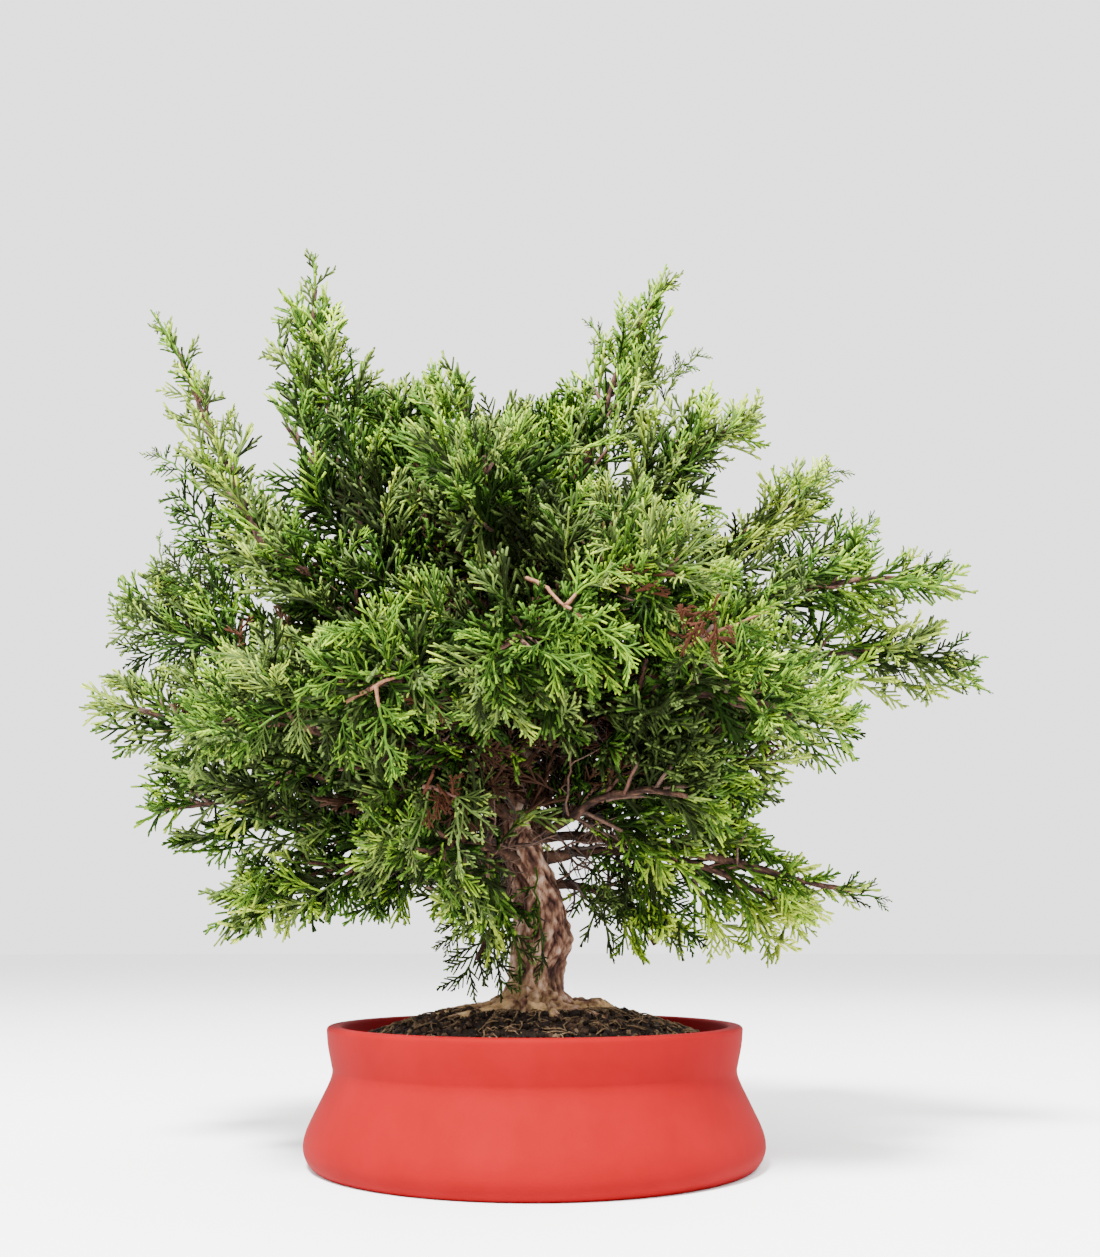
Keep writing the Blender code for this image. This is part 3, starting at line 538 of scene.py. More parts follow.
def math_node(tree, operation, *values):
    node = tree.nodes.new("ShaderNodeMath")
    node.operation = operation
    set_inputs(tree, node, dict(enumerate(values)))
    return node.outputs["Value"]


def range_node(tree, value, low, high, start=0.0, end=1.0):
    """A value between low and high, carried over to start and end."""
    inputs = {"Value": value, "From Min": low, "From Max": high, "To Min": start, "To Max": end}
    return add_node(tree, "MapRange", inputs, "Result")


def object_place(tree):
    return add_node(tree, "TexCoord", {}, "Object")


def noise_node(tree, scale, detail=6.0, roughness=0.6, stretch=(1, 1, 1)):
    """A noise texture in the object's own coordinates, in metres."""
    place = add_node(tree, "Mapping", {"Vector": object_place(tree), "Scale": stretch}, "Vector")
    inputs = {"Vector": place, "Scale": scale, "Detail": detail, "Roughness": roughness}
    return add_node(tree, "TexNoise", inputs, "Fac")


def ramp_node(tree, factor, stops):
    """A colour ramp from (value, colour) stops, whose values may lie anywhere."""
    low, high = stops[0][0], stops[-1][0]
    ramp = tree.nodes.new("ShaderNodeValToRGB")
    set_inputs(tree, ramp, {"Fac": range_node(tree, factor, low, high)})
    elements = ramp.color_ramp.elements
    while len(elements) < len(stops):
        elements.new(0.5)
    for element, (value, colour) in zip(elements, stops):
        element.position = (value - low) / (high - low)
        element.color = (*colour, 1)
    return ramp.outputs["Color"]


def paint(tree, shader, colour, height, strength, distance):
    """Joins a colour and a bump, distance millimetres high, to the shader."""
    bump = {"Height": height, "Strength": strength, "Distance": distance * MM}
    set_inputs(tree, shader, {"Base Color": colour, "Normal": add_node(tree, "Bump", bump, "Normal")})


def bark_material(name, stops):
    """Flaky bark: its relief darkens the cracks and lights the strips, partly the bark's own colours and
    partly painted shade in the cracks and painted highlight on the strips, with ochre patches at the soil.
    """
    made, tree, shader = new_material(name, stops[1][1], roughness=0.85, specular=0.15)
    relief = tree.nodes.new("ShaderNodeAttribute")
    relief.attribute_name = "relief"
    grain = noise_node(tree, scale=750, roughness=0.75, stretch=(1, 1, 0.35))
    # Relief to colour: darker cracks and lighter strips, partly painted shade and highlight
    colour = ramp_node(tree, math_node(tree, "MULTIPLY_ADD", grain, 0.95, relief.outputs["Fac"]), stops)
    height = add_node(tree, "SeparateXYZ", {"Vector": object_place(tree)}, "Z")
    low, high = FOOT_COLOUR_Z
    near_soil = range_node(tree, height, low * MM, high * MM, 1.0, 0.0)
    patches = range_node(tree, noise_node(tree, scale=170), 0.42, 0.62)
    ochre = math_node(tree, "MULTIPLY", near_soil, patches)
    mixed = {"Fac": ochre, "Color1": colour, "Color2": (*FOOT_BARK, 1)}
    paint(tree, shader, add_node(tree, "MixRGB", mixed, "Color"), grain, strength=0.9, distance=0.6)
    return made


def twig_material(name, dark, light):
    made, tree, shader = new_material(name, light, roughness=0.75)
    grain = noise_node(tree, scale=700)
    colour = ramp_node(tree, grain, ((0.35, dark), (0.65, light)))
    paint(tree, shader, colour, grain, strength=0.4, distance=0.3)
    return made


def pot_material():
    """Matte coral-red clay with a faint mottle."""
    made, tree, shader = new_material("pot_coral", POT_RED[0], roughness=0.75, specular=0.05)
    colour = ramp_node(tree, noise_node(tree, scale=60, detail=3), ((0.35, POT_RED[0]), (0.65, POT_RED[1])))
    paint(tree, shader, colour, noise_node(tree, scale=1400, detail=3), strength=0.12, distance=0.12)
    return made


def soil_material(name, dark, light):
    made, tree, shader = new_material(name, dark, roughness=0.95, specular=0.15)
    grain = noise_node(tree, scale=1100)
    colour = ramp_node(tree, grain, ((0.3, dark), (0.75, light)))
    paint(tree, shader, colour, grain, strength=0.8, distance=0.5)
    return made


# The trunk and its limbs


def trunk_axis(height):
    """The trunk's axis point at a height."""
    places = [row[0] for row in TRUNK_AXIS]
    low, high = 0.0, 1.0
    for _ in range(30):
        middle = (low + high) / 2
        if smooth_through(places, middle)[2] < height:
            low = middle
        else:
            high = middle
    return smooth_through(places, (low + high) / 2)


def trunk_radius(height):
    heights = [row[0][2] for row in TRUNK_AXIS]
    return float(np.interp(height, heights, [row[1] for row in TRUNK_AXIS]))


def off_by(angle, direction):
    """How many degrees an angle lies from a direction, from -180 to 180."""
    return (angle - direction + 180) % 360 - 180


def trunk_side(height, angle):
    """How far the trunk's surface is from its axis at a height, in one direction in degrees."""
    reach = trunk_radius(height)
    up = (height - GROUND_Z) / FLARE_HEIGHT
    fade = math.exp(-FLARE_FADE * up)
    for direction, spread, width in ROOTS:
        reach += spread * math.exp(-((off_by(angle, direction) / width) ** 2)) * fade
    round_it = math.exp(-((off_by(angle, KNOT_DIRECTION) / KNOT_WIDTH) ** 2))
    reach += KNOT_SIZE * round_it * math.exp(-(((height - KNOT_Z) / KNOT_HEIGHT) ** 2))
    return reach + FLUTE_DEPTH * math.sin(FLUTES * math.radians(angle) + height / 9)


def limb_curve(limb):
    """The limb's four Bezier points, from the trunk's axis to its tip."""
    foot, tip = trunk_axis(limb.foot), np.array(limb.tip, float)
    span = np.linalg.norm(tip - foot)
    outward = unit((tip - foot) * (1, 1, 0))

    def sloped(degrees):
        return outward * math.cos(math.radians(degrees)) + UP * math.sin(math.radians(degrees))

    leaving = foot + sloped(limb.rise) * span * LEAVE_PULL
    return np.array([foot, leaving, tip - sloped(limb.slope) * span * END_PULL, tip])


def on_curve(curve, t):
    a, b, c, d = curve
    return a * (1 - t) ** 3 + 3 * b * t * (1 - t) ** 2 + 3 * c * t * t * (1 - t) + d * t**3


def heading(curve, t):
    a, b, c, d = curve
    return unit((b - a) * (1 - t) ** 2 + 2 * (c - b) * t * (1 - t) + (d - c) * t * t)


def stem_at(limb, s):
    """The share of a limb's curve at a share of its stem, which begins where the bare wood ends."""
    return limb.bare + (1 - limb.bare) * s


def fullness(s):
    """How far foliage spreads round the stem, as a share of the limb's reach, s from 0 to 1 along it."""
    return ((1 - s**2.4) * (0.5 + 0.5 * s) + 0.42) * (1 - 0.4 * s**3)


def fibres(point, grain=1.0):
    """The bark's relief at a point, about 0 to 1: strips that run up and part, cracks, flakes and lumps."""
    x, y, z = point
    lean = noise.noise(Vector((x * 0.09, y * 0.09, z * 0.05))) * 5
    strip = noise.noise(Vector((x * 0.42 + lean, y * 0.42, z * 0.06)) * grain)
    crack = 1 - abs(noise.noise(Vector((x * 0.55, y * 0.55 + lean, z * 0.10)) * grain)) * 4
    flake = noise.noise(Vector((x * 0.85, y * 0.85 + 3, z * 0.55)) * grain)
    lumps = noise.noise(Vector((x * 0.22 + 5, y * 0.22, z * 0.18)))
    return 0.54 + 0.38 * strip - 0.26 * max(crack, 0) + 0.22 * flake + 0.28 * lumps


def with_relief(made, values):
    """Stores the bark's relief on a mesh's points, where its material reads it."""
    layer = made.data.attributes.new("relief", "FLOAT", "POINT")
    layer.data.foreach_set("value", np.asarray(values, np.float32))
    return made


def build_trunk():
    """The trunk with strips of bark standing out from it."""
    rings, sides = 240, 120
    bottom, top = GROUND_Z - TRUNK_SUNK, TRUNK_AXIS[-1][0][2]
    points, relief = [], []
    for k in range(rings):
        height = bottom + (top - GROUND_Z + TRUNK_SUNK) * (k / (rings - 1)) ** 1.25
        axis = trunk_axis(max(height, GROUND_Z))
        for i in range(sides):
            angle = 360 * i / sides
            turn = math.radians(angle)
            twist = turn + height * 0.012
            reach = trunk_side(max(height, GROUND_Z), angle)
            bark = fibres((reach * math.cos(twist), reach * math.sin(twist), height))
            reach += (bark - 0.5) * TRUNK_RELIEF * min(reach / 8, 1)
            points.append((axis[0] + reach * math.cos(turn), axis[1] + reach * math.sin(turn), height))
            relief.append(bark)
    points += [trunk_axis(GROUND_Z) - UP * TRUNK_SUNK, trunk_axis(top)]
    made = mesh_object("trunk_bark", np.array(points), closed_faces(rings, sides))
    return with_relief(made, relief + [0.5, 0.5])


class Bark:
    """Limbs or roots with the bark's relief, gathered to be joined into one mesh."""

    def __init__(self, sides, depth, size, apart, grain):
        self.sides, self.depth, self.size, self.apart, self.grain = sides, depth, size, apart, grain
        self.heap, self.relief = Heap(), []

    def add(self, path, radii, number, heights):
        """One tube, its bark read from round a circle of its own, at a height for each ring."""
        rows = np.array([[self.read(number, i, z) for i in range(self.sides)] for z in heights])
        self.heap.add(*tube(path, radii, self.sides, (rows - 0.5) * self.depth * radii[:, None]))
        self.relief += [*rows.ravel(), 0.5, 0.5]

    def read(self, number, i, height):
        a = i * TURN / self.sides
        x = self.size * math.cos(a) + number * self.apart
        return fibres((x, self.size * math.sin(a), height), self.grain)

    def make(self, name):
        return with_relief(self.heap.make(name), self.relief)


def build_roots():
    """Surface roots at the trunk's foot and the stump of an old one, lying on the soil."""
    bark = Bark(sides=24, depth=ROOT_RELIEF, size=5, apart=7, grain=1.0)
    shares = np.linspace(0, 1, 40)
    for number, (points, radii) in enumerate(SURFACE_ROOTS):
        path = np.array([smooth_through(points, s) for s in shares])
        widths = np.interp(shares, np.linspace(0, 1, len(radii)), radii)
        bark.add(path, widths, number, np.arange(len(path)) * 0.8)
    return bark.make("surface_roots")


def limb_wood(limb, curve, seed):
    """The path and radii of a limb's wood, from inside the trunk to where its stem turns green."""
    end = stem_at(limb, STEM_WOODY)
    span = np.linalg.norm(on_curve(curve, end) - on_curve(curve, 0))
    start = limb.wood or SHOOT_R
    path, radii = [], []
    for t in np.linspace(0, end, max(12, int(span / 1.7))):
        wander = noise.noise_vector(Vector((t * 5.5, seed * 3.1, 0.5)))
        path.append(on_curve(curve, t) + np.array(wander) * STEM_WANDER * min(t * 6, 1))
        if t <= limb.bare:
            radii.append(start + (BOUGH_TIP_R - start) * (t / limb.bare) ** 0.8)
        else:
            radii.append(BOUGH_TIP_R + (STEM_END_R - BOUGH_TIP_R) * (t - limb.bare) / (1 - limb.bare))
    return np.array(path), np.array(radii)


def build_boughs(curves):
    """All the limbs' wood as one mesh with the bark's relief."""
    bark = Bark(sides=10, depth=BOUGH_RELIEF, size=3, apart=9, grain=1.3)
    for index, (limb, curve) in enumerate(zip(LIMBS, curves)):
        path, radii = limb_wood(limb, curve, index)
        along = np.concatenate([[0], np.cumsum(np.linalg.norm(np.diff(path, axis=0), axis=1))])
        bark.add(path, radii, index, along * 1.4)
    return bark.make("boughs_bark")


# Sprays


def bent_path(root, way, length, curl, chance, steps):
    """Points from root along way, bending towards curl, wandering. Steps are shares of the length."""
    path, point = [root], root
    for step in steps:
        way = unit(way + curl * step + jolt(chance, 0.04))
        point = point + way * (length * step)
        path.append(point)
    return np.array(path)


def even_steps(length, ring):
    count = max(1, round(length / ring))
    return (1 / count,) * count


def point_on(path, share):
    """A path's point and direction at a share of its steps."""
    step = share * (len(path) - 1)
    low = min(int(step), len(path) - 2)
    return path[low] + (path[low + 1] - path[low]) * (step - low), unit(path[low + 1] - path[low])


def draw_spray(shape, seed, cords):
    """One spray along +Y from the origin, its flat side along Z: three heaps of cords, from old to fresh."""
    chance = random.Random(seed)
    parts = [Heap(), Heap(), Heap()]

    def add(path, share_of_radius, fresh):
        radii = np.linspace(cords.radius, cords.radius * CORD_TAPER, len(path)) * share_of_radius
        points, faces = cord(path, radii)
        light = chance.random() < LIGHT_ENDS
        split = len(faces) - CORD_END if light else len(faces)
        base = min(max(fresh + chance.choice((-1, 0, 0, 1)), 0), 1)
        end = min(base + chance.choice((1, 2)), 2)
        for level, some in ((base, faces[:split]), (end, faces[split:])):
            if len(some):
                parts[level].add(points, some)

    curl = np.array([chance.uniform(-0.35, 0.35), 0, chance.uniform(-0.35, 0.45)])
    along = even_steps(shape.length, cords.ring)
    axis = bent_path(np.zeros(3), np.array([0.0, 1.0, 0.0]), shape.length, curl, chance, along)
    add(axis, 1.0, 0)
    place = shape.length * 0.1
    side = chance.choice((-1, 1))
    while place < shape.length * 0.94:
        share = place / shape.length
        root, ahead = point_on(axis, share)
        full = shape.width * shape.length * (math.sin(math.pi * min(share * 1.1 + 0.14, 1)) ** 0.7 + 0.15)
        reach = max(full * chance.uniform(0.8, 1.15) * (1.05 - 0.3 * share), 2.4)
        angle = math.radians(shape.angle + chance.uniform(-8, 8))
        out = unit(np.array([side, 0.0, chance.uniform(-0.6, 0.6)]))
        branch = bent_path(root, tilted(ahead, out, angle), reach, ahead * 0.3, chance, TIP_STEPS)
        add(branch, 0.95, 1 if share > 0.55 else 0)
        if shape.fork_every and reach > 4.0:
            grow_forks(add, branch, out, reach, share, shape, chance)
        side = -side
        place += shape.every * chance.uniform(0.8, 1.25)
    return parts


def grow_forks(add, branch, out, reach, share, shape, chance):
    """The last cords, on both sides of a side branch."""
    hand = chance.choice((-1, 1))
    place = 0.25
    normal = unit(np.cross(unit(branch[-1] - branch[0]), out) + 1e-6)
    while place < 0.86:
        root, ahead = point_on(branch, place)
        angle = math.radians(FORK_ANGLE + chance.uniform(-7, 7))
        away = unit(unit(np.cross(normal, ahead)) * hand + normal * chance.uniform(-0.4, 0.4))
        length = (0.40 * reach * (1 - place) + 2.0) * chance.uniform(0.85, 1.2)
        path = bent_path(root, tilted(ahead, away, angle), length, ahead * 0.2, chance, (1,))
        add(path, 0.9, 1 if share > 0.35 else 0)
        hand = -hand
        place += shape.fork_every / reach


def spray_library(cords):
    """The drawn variants of each kind of spray, each as three (points, triangles), from old to fresh."""
    library = {}
    for number, (kind, (shape, count)) in enumerate(SPRAYS.items(), 1):
        every, fork_every = shape.every * cords.sparser, shape.fork_every * cords.sparser
        library[kind] = []
        for k in range(count):
            length = shape.length * (0.9 + 0.2 * k / count)
            drawn = shape._replace(length=length, every=every, fork_every=fork_every)
            library[kind].append([packed(part) for part in draw_spray(drawn, 100 * number + k, cords)])
    return library


def packed(heap):
    """A heap's arrays without the points that no triangle uses."""
    if not heap.points:
        return np.zeros((0, 3)), np.zeros((0, 3), int)
    points, faces = np.vstack(heap.points), np.vstack(heap.faces)
    used, index = np.unique(faces, return_inverse=True)
    return points[used], index.reshape(faces.shape)


# The crown


class Crown:
    """The whole tree's foliage as it grows: sprays by colour, and twigs by kind."""

    def __init__(self, curves):
        self.fine, self.coarse, self.stout = (spray_library(cords) for cords in (FINE, COARSE, STOUT))
        self.colours = {name: [Heap()] for name in FOLIAGE}
        self.twigs = {kind: Heap() for kind in TWIG_LOOKS}
        self.curves = curves
        self.count = 0
        shares = np.linspace(0, 1, 13)
        self.centres, self.reaches = [], []
        for limb, curve in zip(LIMBS, curves):
            slender = SLENDER.get(limb.name, 0)
            reaches = [max(limb.reach * fullness(s) * (1 - slender * s), TIP_REACH) for s in shares]
            self.reaches.append(np.array(reaches))
            self.centres.append(np.array([on_curve(curve, stem_at(limb, s)) for s in shares]))
        self.all_centres, self.all_reaches = np.vstack(self.centres), np.concatenate(self.reaches)
        self.low, self.high = (np.array(corner) / MM for corner in CAD_BOX)

    def depth(self, points, index):
        """How far outside a mass's reach each point is; below 0 inside."""
        off = np.linalg.norm(points[:, None] - self.centres[index][None], axis=2) - self.reaches[index][None]
        return off.min(axis=1)

    def buried(self, point):
        """How deep a point lies inside the crown."""
        return max(0.0, (self.all_reaches - np.linalg.norm(self.all_centres - point, axis=1)).max())

    def inside(self, points):
        """Whether points lie inside the part's box and off the trunk."""
        if (points < self.low + BOX_SPARE).any() or (points > self.high - BOX_SPARE).any():
            return False
        off = np.linalg.norm(points[:, :2] - np.array(TRUNK_AT), axis=1)
        return bool(((off > TRUNK_CLEAR) | (points[:, 2] > TRUNK_OPEN)).all())

    def free(self, points):
        """The same, and in no clearing."""
        return self.inside(points) and not any(
            (np.linalg.norm((points - np.array(centre)) / np.array(half), axis=1) < 1).any()
            for centre, half in CLEARINGS
        )

    def holds(self, points, index):
        """The same, and in a mass's reach."""
        points = np.atleast_2d(points)
        tip, ahead = self.curves[index][3], heading(self.curves[index], 1.0)
        if ((points - tip) @ ahead > TIP_SPARE).any() or (self.depth(points, index) > 0).any():
            return False
        return self.free(points)

    def shades(self, points, index):
        """Whether points near the trunk suit a twig: high up anywhere free, low down in its mass alone."""
        points = np.atleast_2d(points)
        return self.free(points) if points[:, 2].min() > INNER_LOW else self.holds(points, index)

    def heap_for(self, tone, size, hue):
        """The heap with room for size triangles of a named colour, or of the ladder's step tone in a hue."""
        name = tone
        if not isinstance(tone, str):
            name = f"{LADDER_NAMES[max(0, min(tone, len(LADDER_NAMES) - 1))]}_{hue}"
        if self.colours[name][-1].triangles() + size > PIECE_LIMIT:
            self.colours[name].append(Heap())
        return self.colours[name][-1]

    def add_spray(self, kind, root, way, roll, scale, tone, heavy=False):
        """One spray, its old cords in the ladder's colour number tone and its tips lighter."""
        named = isinstance(tone, str)
        if scale < 0.7 or tone == 0:
            library = self.stout
        elif heavy or named or tone < 2 or root[1] > FRONT_Y:
            library = self.coarse
        else:
            library = self.fine
        chosen = library[kind][self.count % len(library[kind])]
        self.count += 1
        side = side_of(way, roll)
        turn = np.array([side, way, np.cross(side, way)]) * scale
        hue = hue_at(root)
        for lighter, (points, faces) in enumerate(chosen):
            if len(faces):
                step = tone if named else tone + lighter - 1
                self.heap_for(step, len(faces), hue).add(points @ turn + root, faces)

    def add_cord(self, path, first, last, tone):
        """A single cord, its radius first and last times the fine one."""
        points, faces = cord(path, np.linspace(FINE.radius * first, FINE.radius * last, len(path)))
        self.heap_for(tone, len(faces), hue_at(path[0])).add(points, faces)

    def add_wood(self, kind, path, radii, sides):
        self.twigs[kind].add(*tube(path, np.linspace(*radii, len(path)), sides))


def hue_at(point):
    """Vivid in some parts of the crown and duller in others."""
    place = Vector(point)
    lean = noise.noise(place * HUE_PATCH) + 0.6 * noise.noise(place * HUE_SPECKLE)
    return HUES[lean > 0]


def painted_light_tone_at(crown, point, way, luck):
    """The ladder's step for a spray, as painted light and shade: lighter on the crown's outside, skirt and
    right, and pointing up, darker deep inside.
    """
    x, _, z = point
    out = min(np.linalg.norm((point - CROWN_CENTRE) / CROWN_HALF), OUTMOST)
    skirt = max(0.0, (130 - z) / 80)
    right = max(-0.8, min(x / 80, 1.0))
    # Painted light and shade: lighter outside, low in the skirt, on the right and facing up, darker where
    # buried
    value = TONE_OUT * out + TONE_UP * (z - 60) / 260 + TONE_SKIRT * skirt + TONE_RIGHT * right
    value += TONE_WAY * way[2] + luck + TONE_START - TONE_BURIED * max(crown.buried(point), LEAST_BURIED)
    return math.floor(max(0.0, min(value, TONE_TOP)))


def grow_leader(crown, index, root, way, longest, chance):
    """A twig's path from the stem, bending a little up and outwards, as far as its sprays have room."""
    path, point = [root], root
    pull = heading(crown.curves[index], 0.9) * 0.05 + UP * (0.045 if LIMBS[index].slope > -30 else -0.02)
    while len(path) * LEADER_STEP < longest:
        way = unit(way + pull + jolt(chance, 0.07))
        point = point + way * LEADER_STEP
        if not crown.holds(point + way * LEADER_SPARE, index):
            break
        path.append(point)
    return np.array(path)


def dress_leader(crown, index, path, luck, chance):
    """Sprays on both sides of a leader and one at its end."""
    length = LEADER_STEP * (len(path) - 1)
    side = chance.choice((-1, 1))
    plane = chance.uniform(0, math.pi)
    place = 3.0
    while place < length:
        k = min(int(place / LEADER_STEP), len(path) - 2)
        root = path[k] + (path[k + 1] - path[k]) * (place / LEADER_STEP - k)
        ahead = step_way(path, k)
        angle = math.radians(42 + chance.uniform(-10, 10))
        out = side_of(ahead, plane + chance.uniform(-0.6, 0.6)) * side
        way = tilted(ahead, out, angle, 0.08)
        kind = chance.choice(("comb", "comb", "plume", "plume", "fan", "tuft"))
        put_spray(crown, index, kind, root, way, chance, luck)
        side = -side
        place += SPRAY_EVERY * chance.uniform(0.8, 1.25)
    last = "whip" if LIMBS[index].slope > 40 or chance.random() < 0.3 else "comb"
    put_spray(crown, index, last, path[-1], step_way(path), chance, luck + 0.35)


def put_spray(crown, index, kind, root, way, chance, luck, size=1.0):
    """A spray where there is room for it; a smaller one is tried before it is left off."""
    roll = chance.uniform(0, TURN)
    side = side_of(way, roll)
    for trial, scale in ((kind, chance.uniform(0.92, 1.08)), (kind, 0.85), ("small", 1.0), ("tuft", 0.95)):
        shape = SPRAYS[trial][0]
        scale *= size
        length, half = shape.length * scale, side * (shape.length * shape.width * scale * 0.7)
        middle = root + way * length * 0.6
        if crown.holds([root + way * length, middle + half, middle - half], index):
            tone = painted_light_tone_at(crown, middle, way, luck + chance.uniform(-TONE_LUCK, TONE_LUCK))
            heavy = size < 1 or LIMBS[index].name in SLENDER
            crown.add_spray(trial, root, way, roll, scale, tone, heavy)
            return


def grow_mass(crown, index):
    """One mass of foliage: leaders round its stem by the spiral rule, and sprays on them."""
    limb, curve = LIMBS[index], crown.curves[index]
    chance = random.Random(index)
    luck_of_mass = chance.uniform(-0.35, 0.35) - 0.4 * SLENDER.get(limb.name, 0)
    for k in range(limb.blades + 4):
        s = START + (LAST - START) * ((0.31 + k * GOLDEN_STEP) % 1)
        forward = heading(curve, stem_at(limb, s))
        roll = index + s * limb.blades * GOLDEN_ANGLE + chance.uniform(-0.4, 0.4)
        spread = math.radians(SPREAD[0] + (SPREAD[1] - SPREAD[0]) * s)
        along = tilted(forward, side_of(forward, roll), spread, 0.1)
        root = on_curve(curve, stem_at(limb, s))
        path = grow_leader(crown, index, root, along, min(LEADER_LONGEST, limb.reach * 1.1), chance)
        luck = luck_of_mass + chance.uniform(-0.4, 0.4)
        if limb.reach * fullness(max(s, 0)) > SLIM and len(path) > 3:
            dress_leader(crown, index, path, luck, chance)
            add_twig(crown, path, luck, chance)
    grow_stem_tip(crown, index, luck_of_mass, chance)


def grow_inner(crown, index):
    """Bare brown twigs and dark or dead sprays on a limb's inner stretch, where little light comes; the dark
    twigs and green sprays are painted shade.
    """
    limb, curve = LIMBS[index], crown.curves[index]
    chance = random.Random(INNER_SEED + index)
    for _ in range(INNER_TWIGS):
        t = chance.uniform(0.2, 1.35) * limb.bare
        ahead = heading(curve, t)
        away = side_of(ahead, chance.uniform(0, TURN))
        way = unit(ahead * chance.uniform(0.0, 0.9) + away + UP * chance.uniform(-0.3, 0.4))
        path = wander_path(on_curve(curve, t), way, chance.uniform(12, 34), chance)
        if not crown.shades(path[1:], index):
            continue
        # the dark twigs are painted shade
        kind = chance.choice(("twig_dark_painted_shade", "twig_brown"))
        crown.add_wood(kind, path, INNER_R, 4)
        for k in range(1, len(path) - 1):
            ahead = step_way(path, k)
            fork = unit(side_of(ahead, chance.uniform(0, TURN)) + ahead * 0.8)
            small = wander_path(path[k], fork, chance.uniform(5, 14), chance)
            if crown.shades(small[1:], index):
                crown.add_wood(kind, small, FORKED_R, 3)
                if chance.random() < 0.6:
                    put_inner(crown, index, small[-1], step_way(small), chance)
        put_inner(crown, index, path[-1], step_way(path), chance)


def put_inner(crown, index, root, way, chance):
    """A spray painted dark as shade, or at times a dead one."""
    kind = chance.choice(("comb", "plume", "tuft"))
    if root[2] > INNER_LOW and crown.shades(root + way * SPRAYS[kind][0].length, index):
        dead = 0.45 if root[2] < 170 else 0.12
        # Green sprays here take the ladder's low steps: painted shade
        tone = "foliage_dead" if chance.random() < dead else chance.choice((1, 1, 2))
        crown.add_spray(kind, root, way, chance.uniform(0, 6), chance.uniform(0.9, 1.15), tone)


def grow_shoot(crown, number, shoot):
    """One of the single shoots, its sprays spread flat as seen from the front."""
    chance = random.Random(SHOOT_SEED + number)
    root, tip = np.array(shoot.root, float), np.array(shoot.tip, float)
    shares = np.linspace(0, 1, 9)
    path = root + (tip - root) * shares[:, None] + UP * (shoot.sag * np.sin(shares * math.pi))[:, None]
    path[1:-1] += np.array([jolt(chance, 0.35) for _ in shares[1:-1]])
    turn = round(shoot.bare * 8)
    if shoot.twig and turn:
        crown.add_wood(shoot.twig, path[: turn + 1], (0.7, 0.45), 6)
    if not shoot.kind:
        return
    start = turn if shoot.twig else 0
    if start < 8:
        crown.add_cord(path[start:], 1.1, 0.9, shoot.tone)
    length = np.linalg.norm(tip - root)
    place, side = shoot.bare * length, 1
    while place < length:
        share = place / length
        point, ahead = point_on(path, share)
        out = side_of(ahead, math.pi / 2 + chance.uniform(-0.5, 0.5)) * side
        scale = shoot.scale * (1 - 0.3 * share)
        add_flat(crown, shoot.kind, point, tilted(ahead, out, 0.7), scale, shoot.tone, chance)
        side = -side
        place += shoot.every * chance.uniform(0.85, 1.15)
    add_flat(crown, shoot.kind, path[-2], step_way(path), shoot.scale * 0.6, shoot.tone, chance)


def add_flat(crown, kind, root, way, scale, tone, chance):
    """A spray with its flat side to the front, where it stays in the part's box and off the trunk."""
    end = root + way * SPRAYS[kind][0].length * scale
    if crown.inside(np.array([end, (root + end) / 2])):
        roll = math.pi / 2 + chance.uniform(-0.4, 0.4)
        crown.add_spray(kind, root, way, roll, scale, tone - (chance.random() < 0.25))


def grow_rust(crown, number, centre, half, count):
    """A clump of dead reddish tufts round a point."""
    chance = random.Random(RUST_SEED + number)
    for _ in range(count):
        way = unit(np.array([chance.gauss(0, 1), chance.gauss(-0.4, 0.6), chance.gauss(0, 1)]))
        off = np.array([chance.uniform(-half, half) for _ in range(3)]) * (1, 0.5, 0.7)
        root = np.array(centre, float) + off
        if crown.inside(np.array([root, root + way * 7])):
            roll, scale = chance.uniform(0, 6), chance.uniform(0.5, 0.75)
            crown.add_spray("tuft", root, way, roll, scale, "foliage_rust")


def wander_path(root, way, length, chance):
    """A crooked path from root, about length long."""
    count = max(3, round(length / 3.2))
    path, point = [root], root
    for _ in range(count):
        way = unit(way + jolt(chance, 0.2))
        point = point + way * (length / count)
        path.append(point)
    return np.array(path)


def add_twig(crown, path, luck, chance):
    """A leader's wood: reddish or brown near the stem, green and scaly further out."""
    radii = np.linspace(*LEADER_R, len(path))
    turn = max(2, int(len(path) * (1 - GREEN_SHARE)))
    kind = chance.choice(("twig_red", "twig_red", "twig_brown"))
    crown.twigs[kind].add(*tube(path[: turn + 1], radii[: turn + 1], 5))
    if len(path) - turn > 1:
        crown.add_cord(path[turn:], 1.0, 0.9, painted_light_tone_at(crown, path[-1], step_way(path), luck))


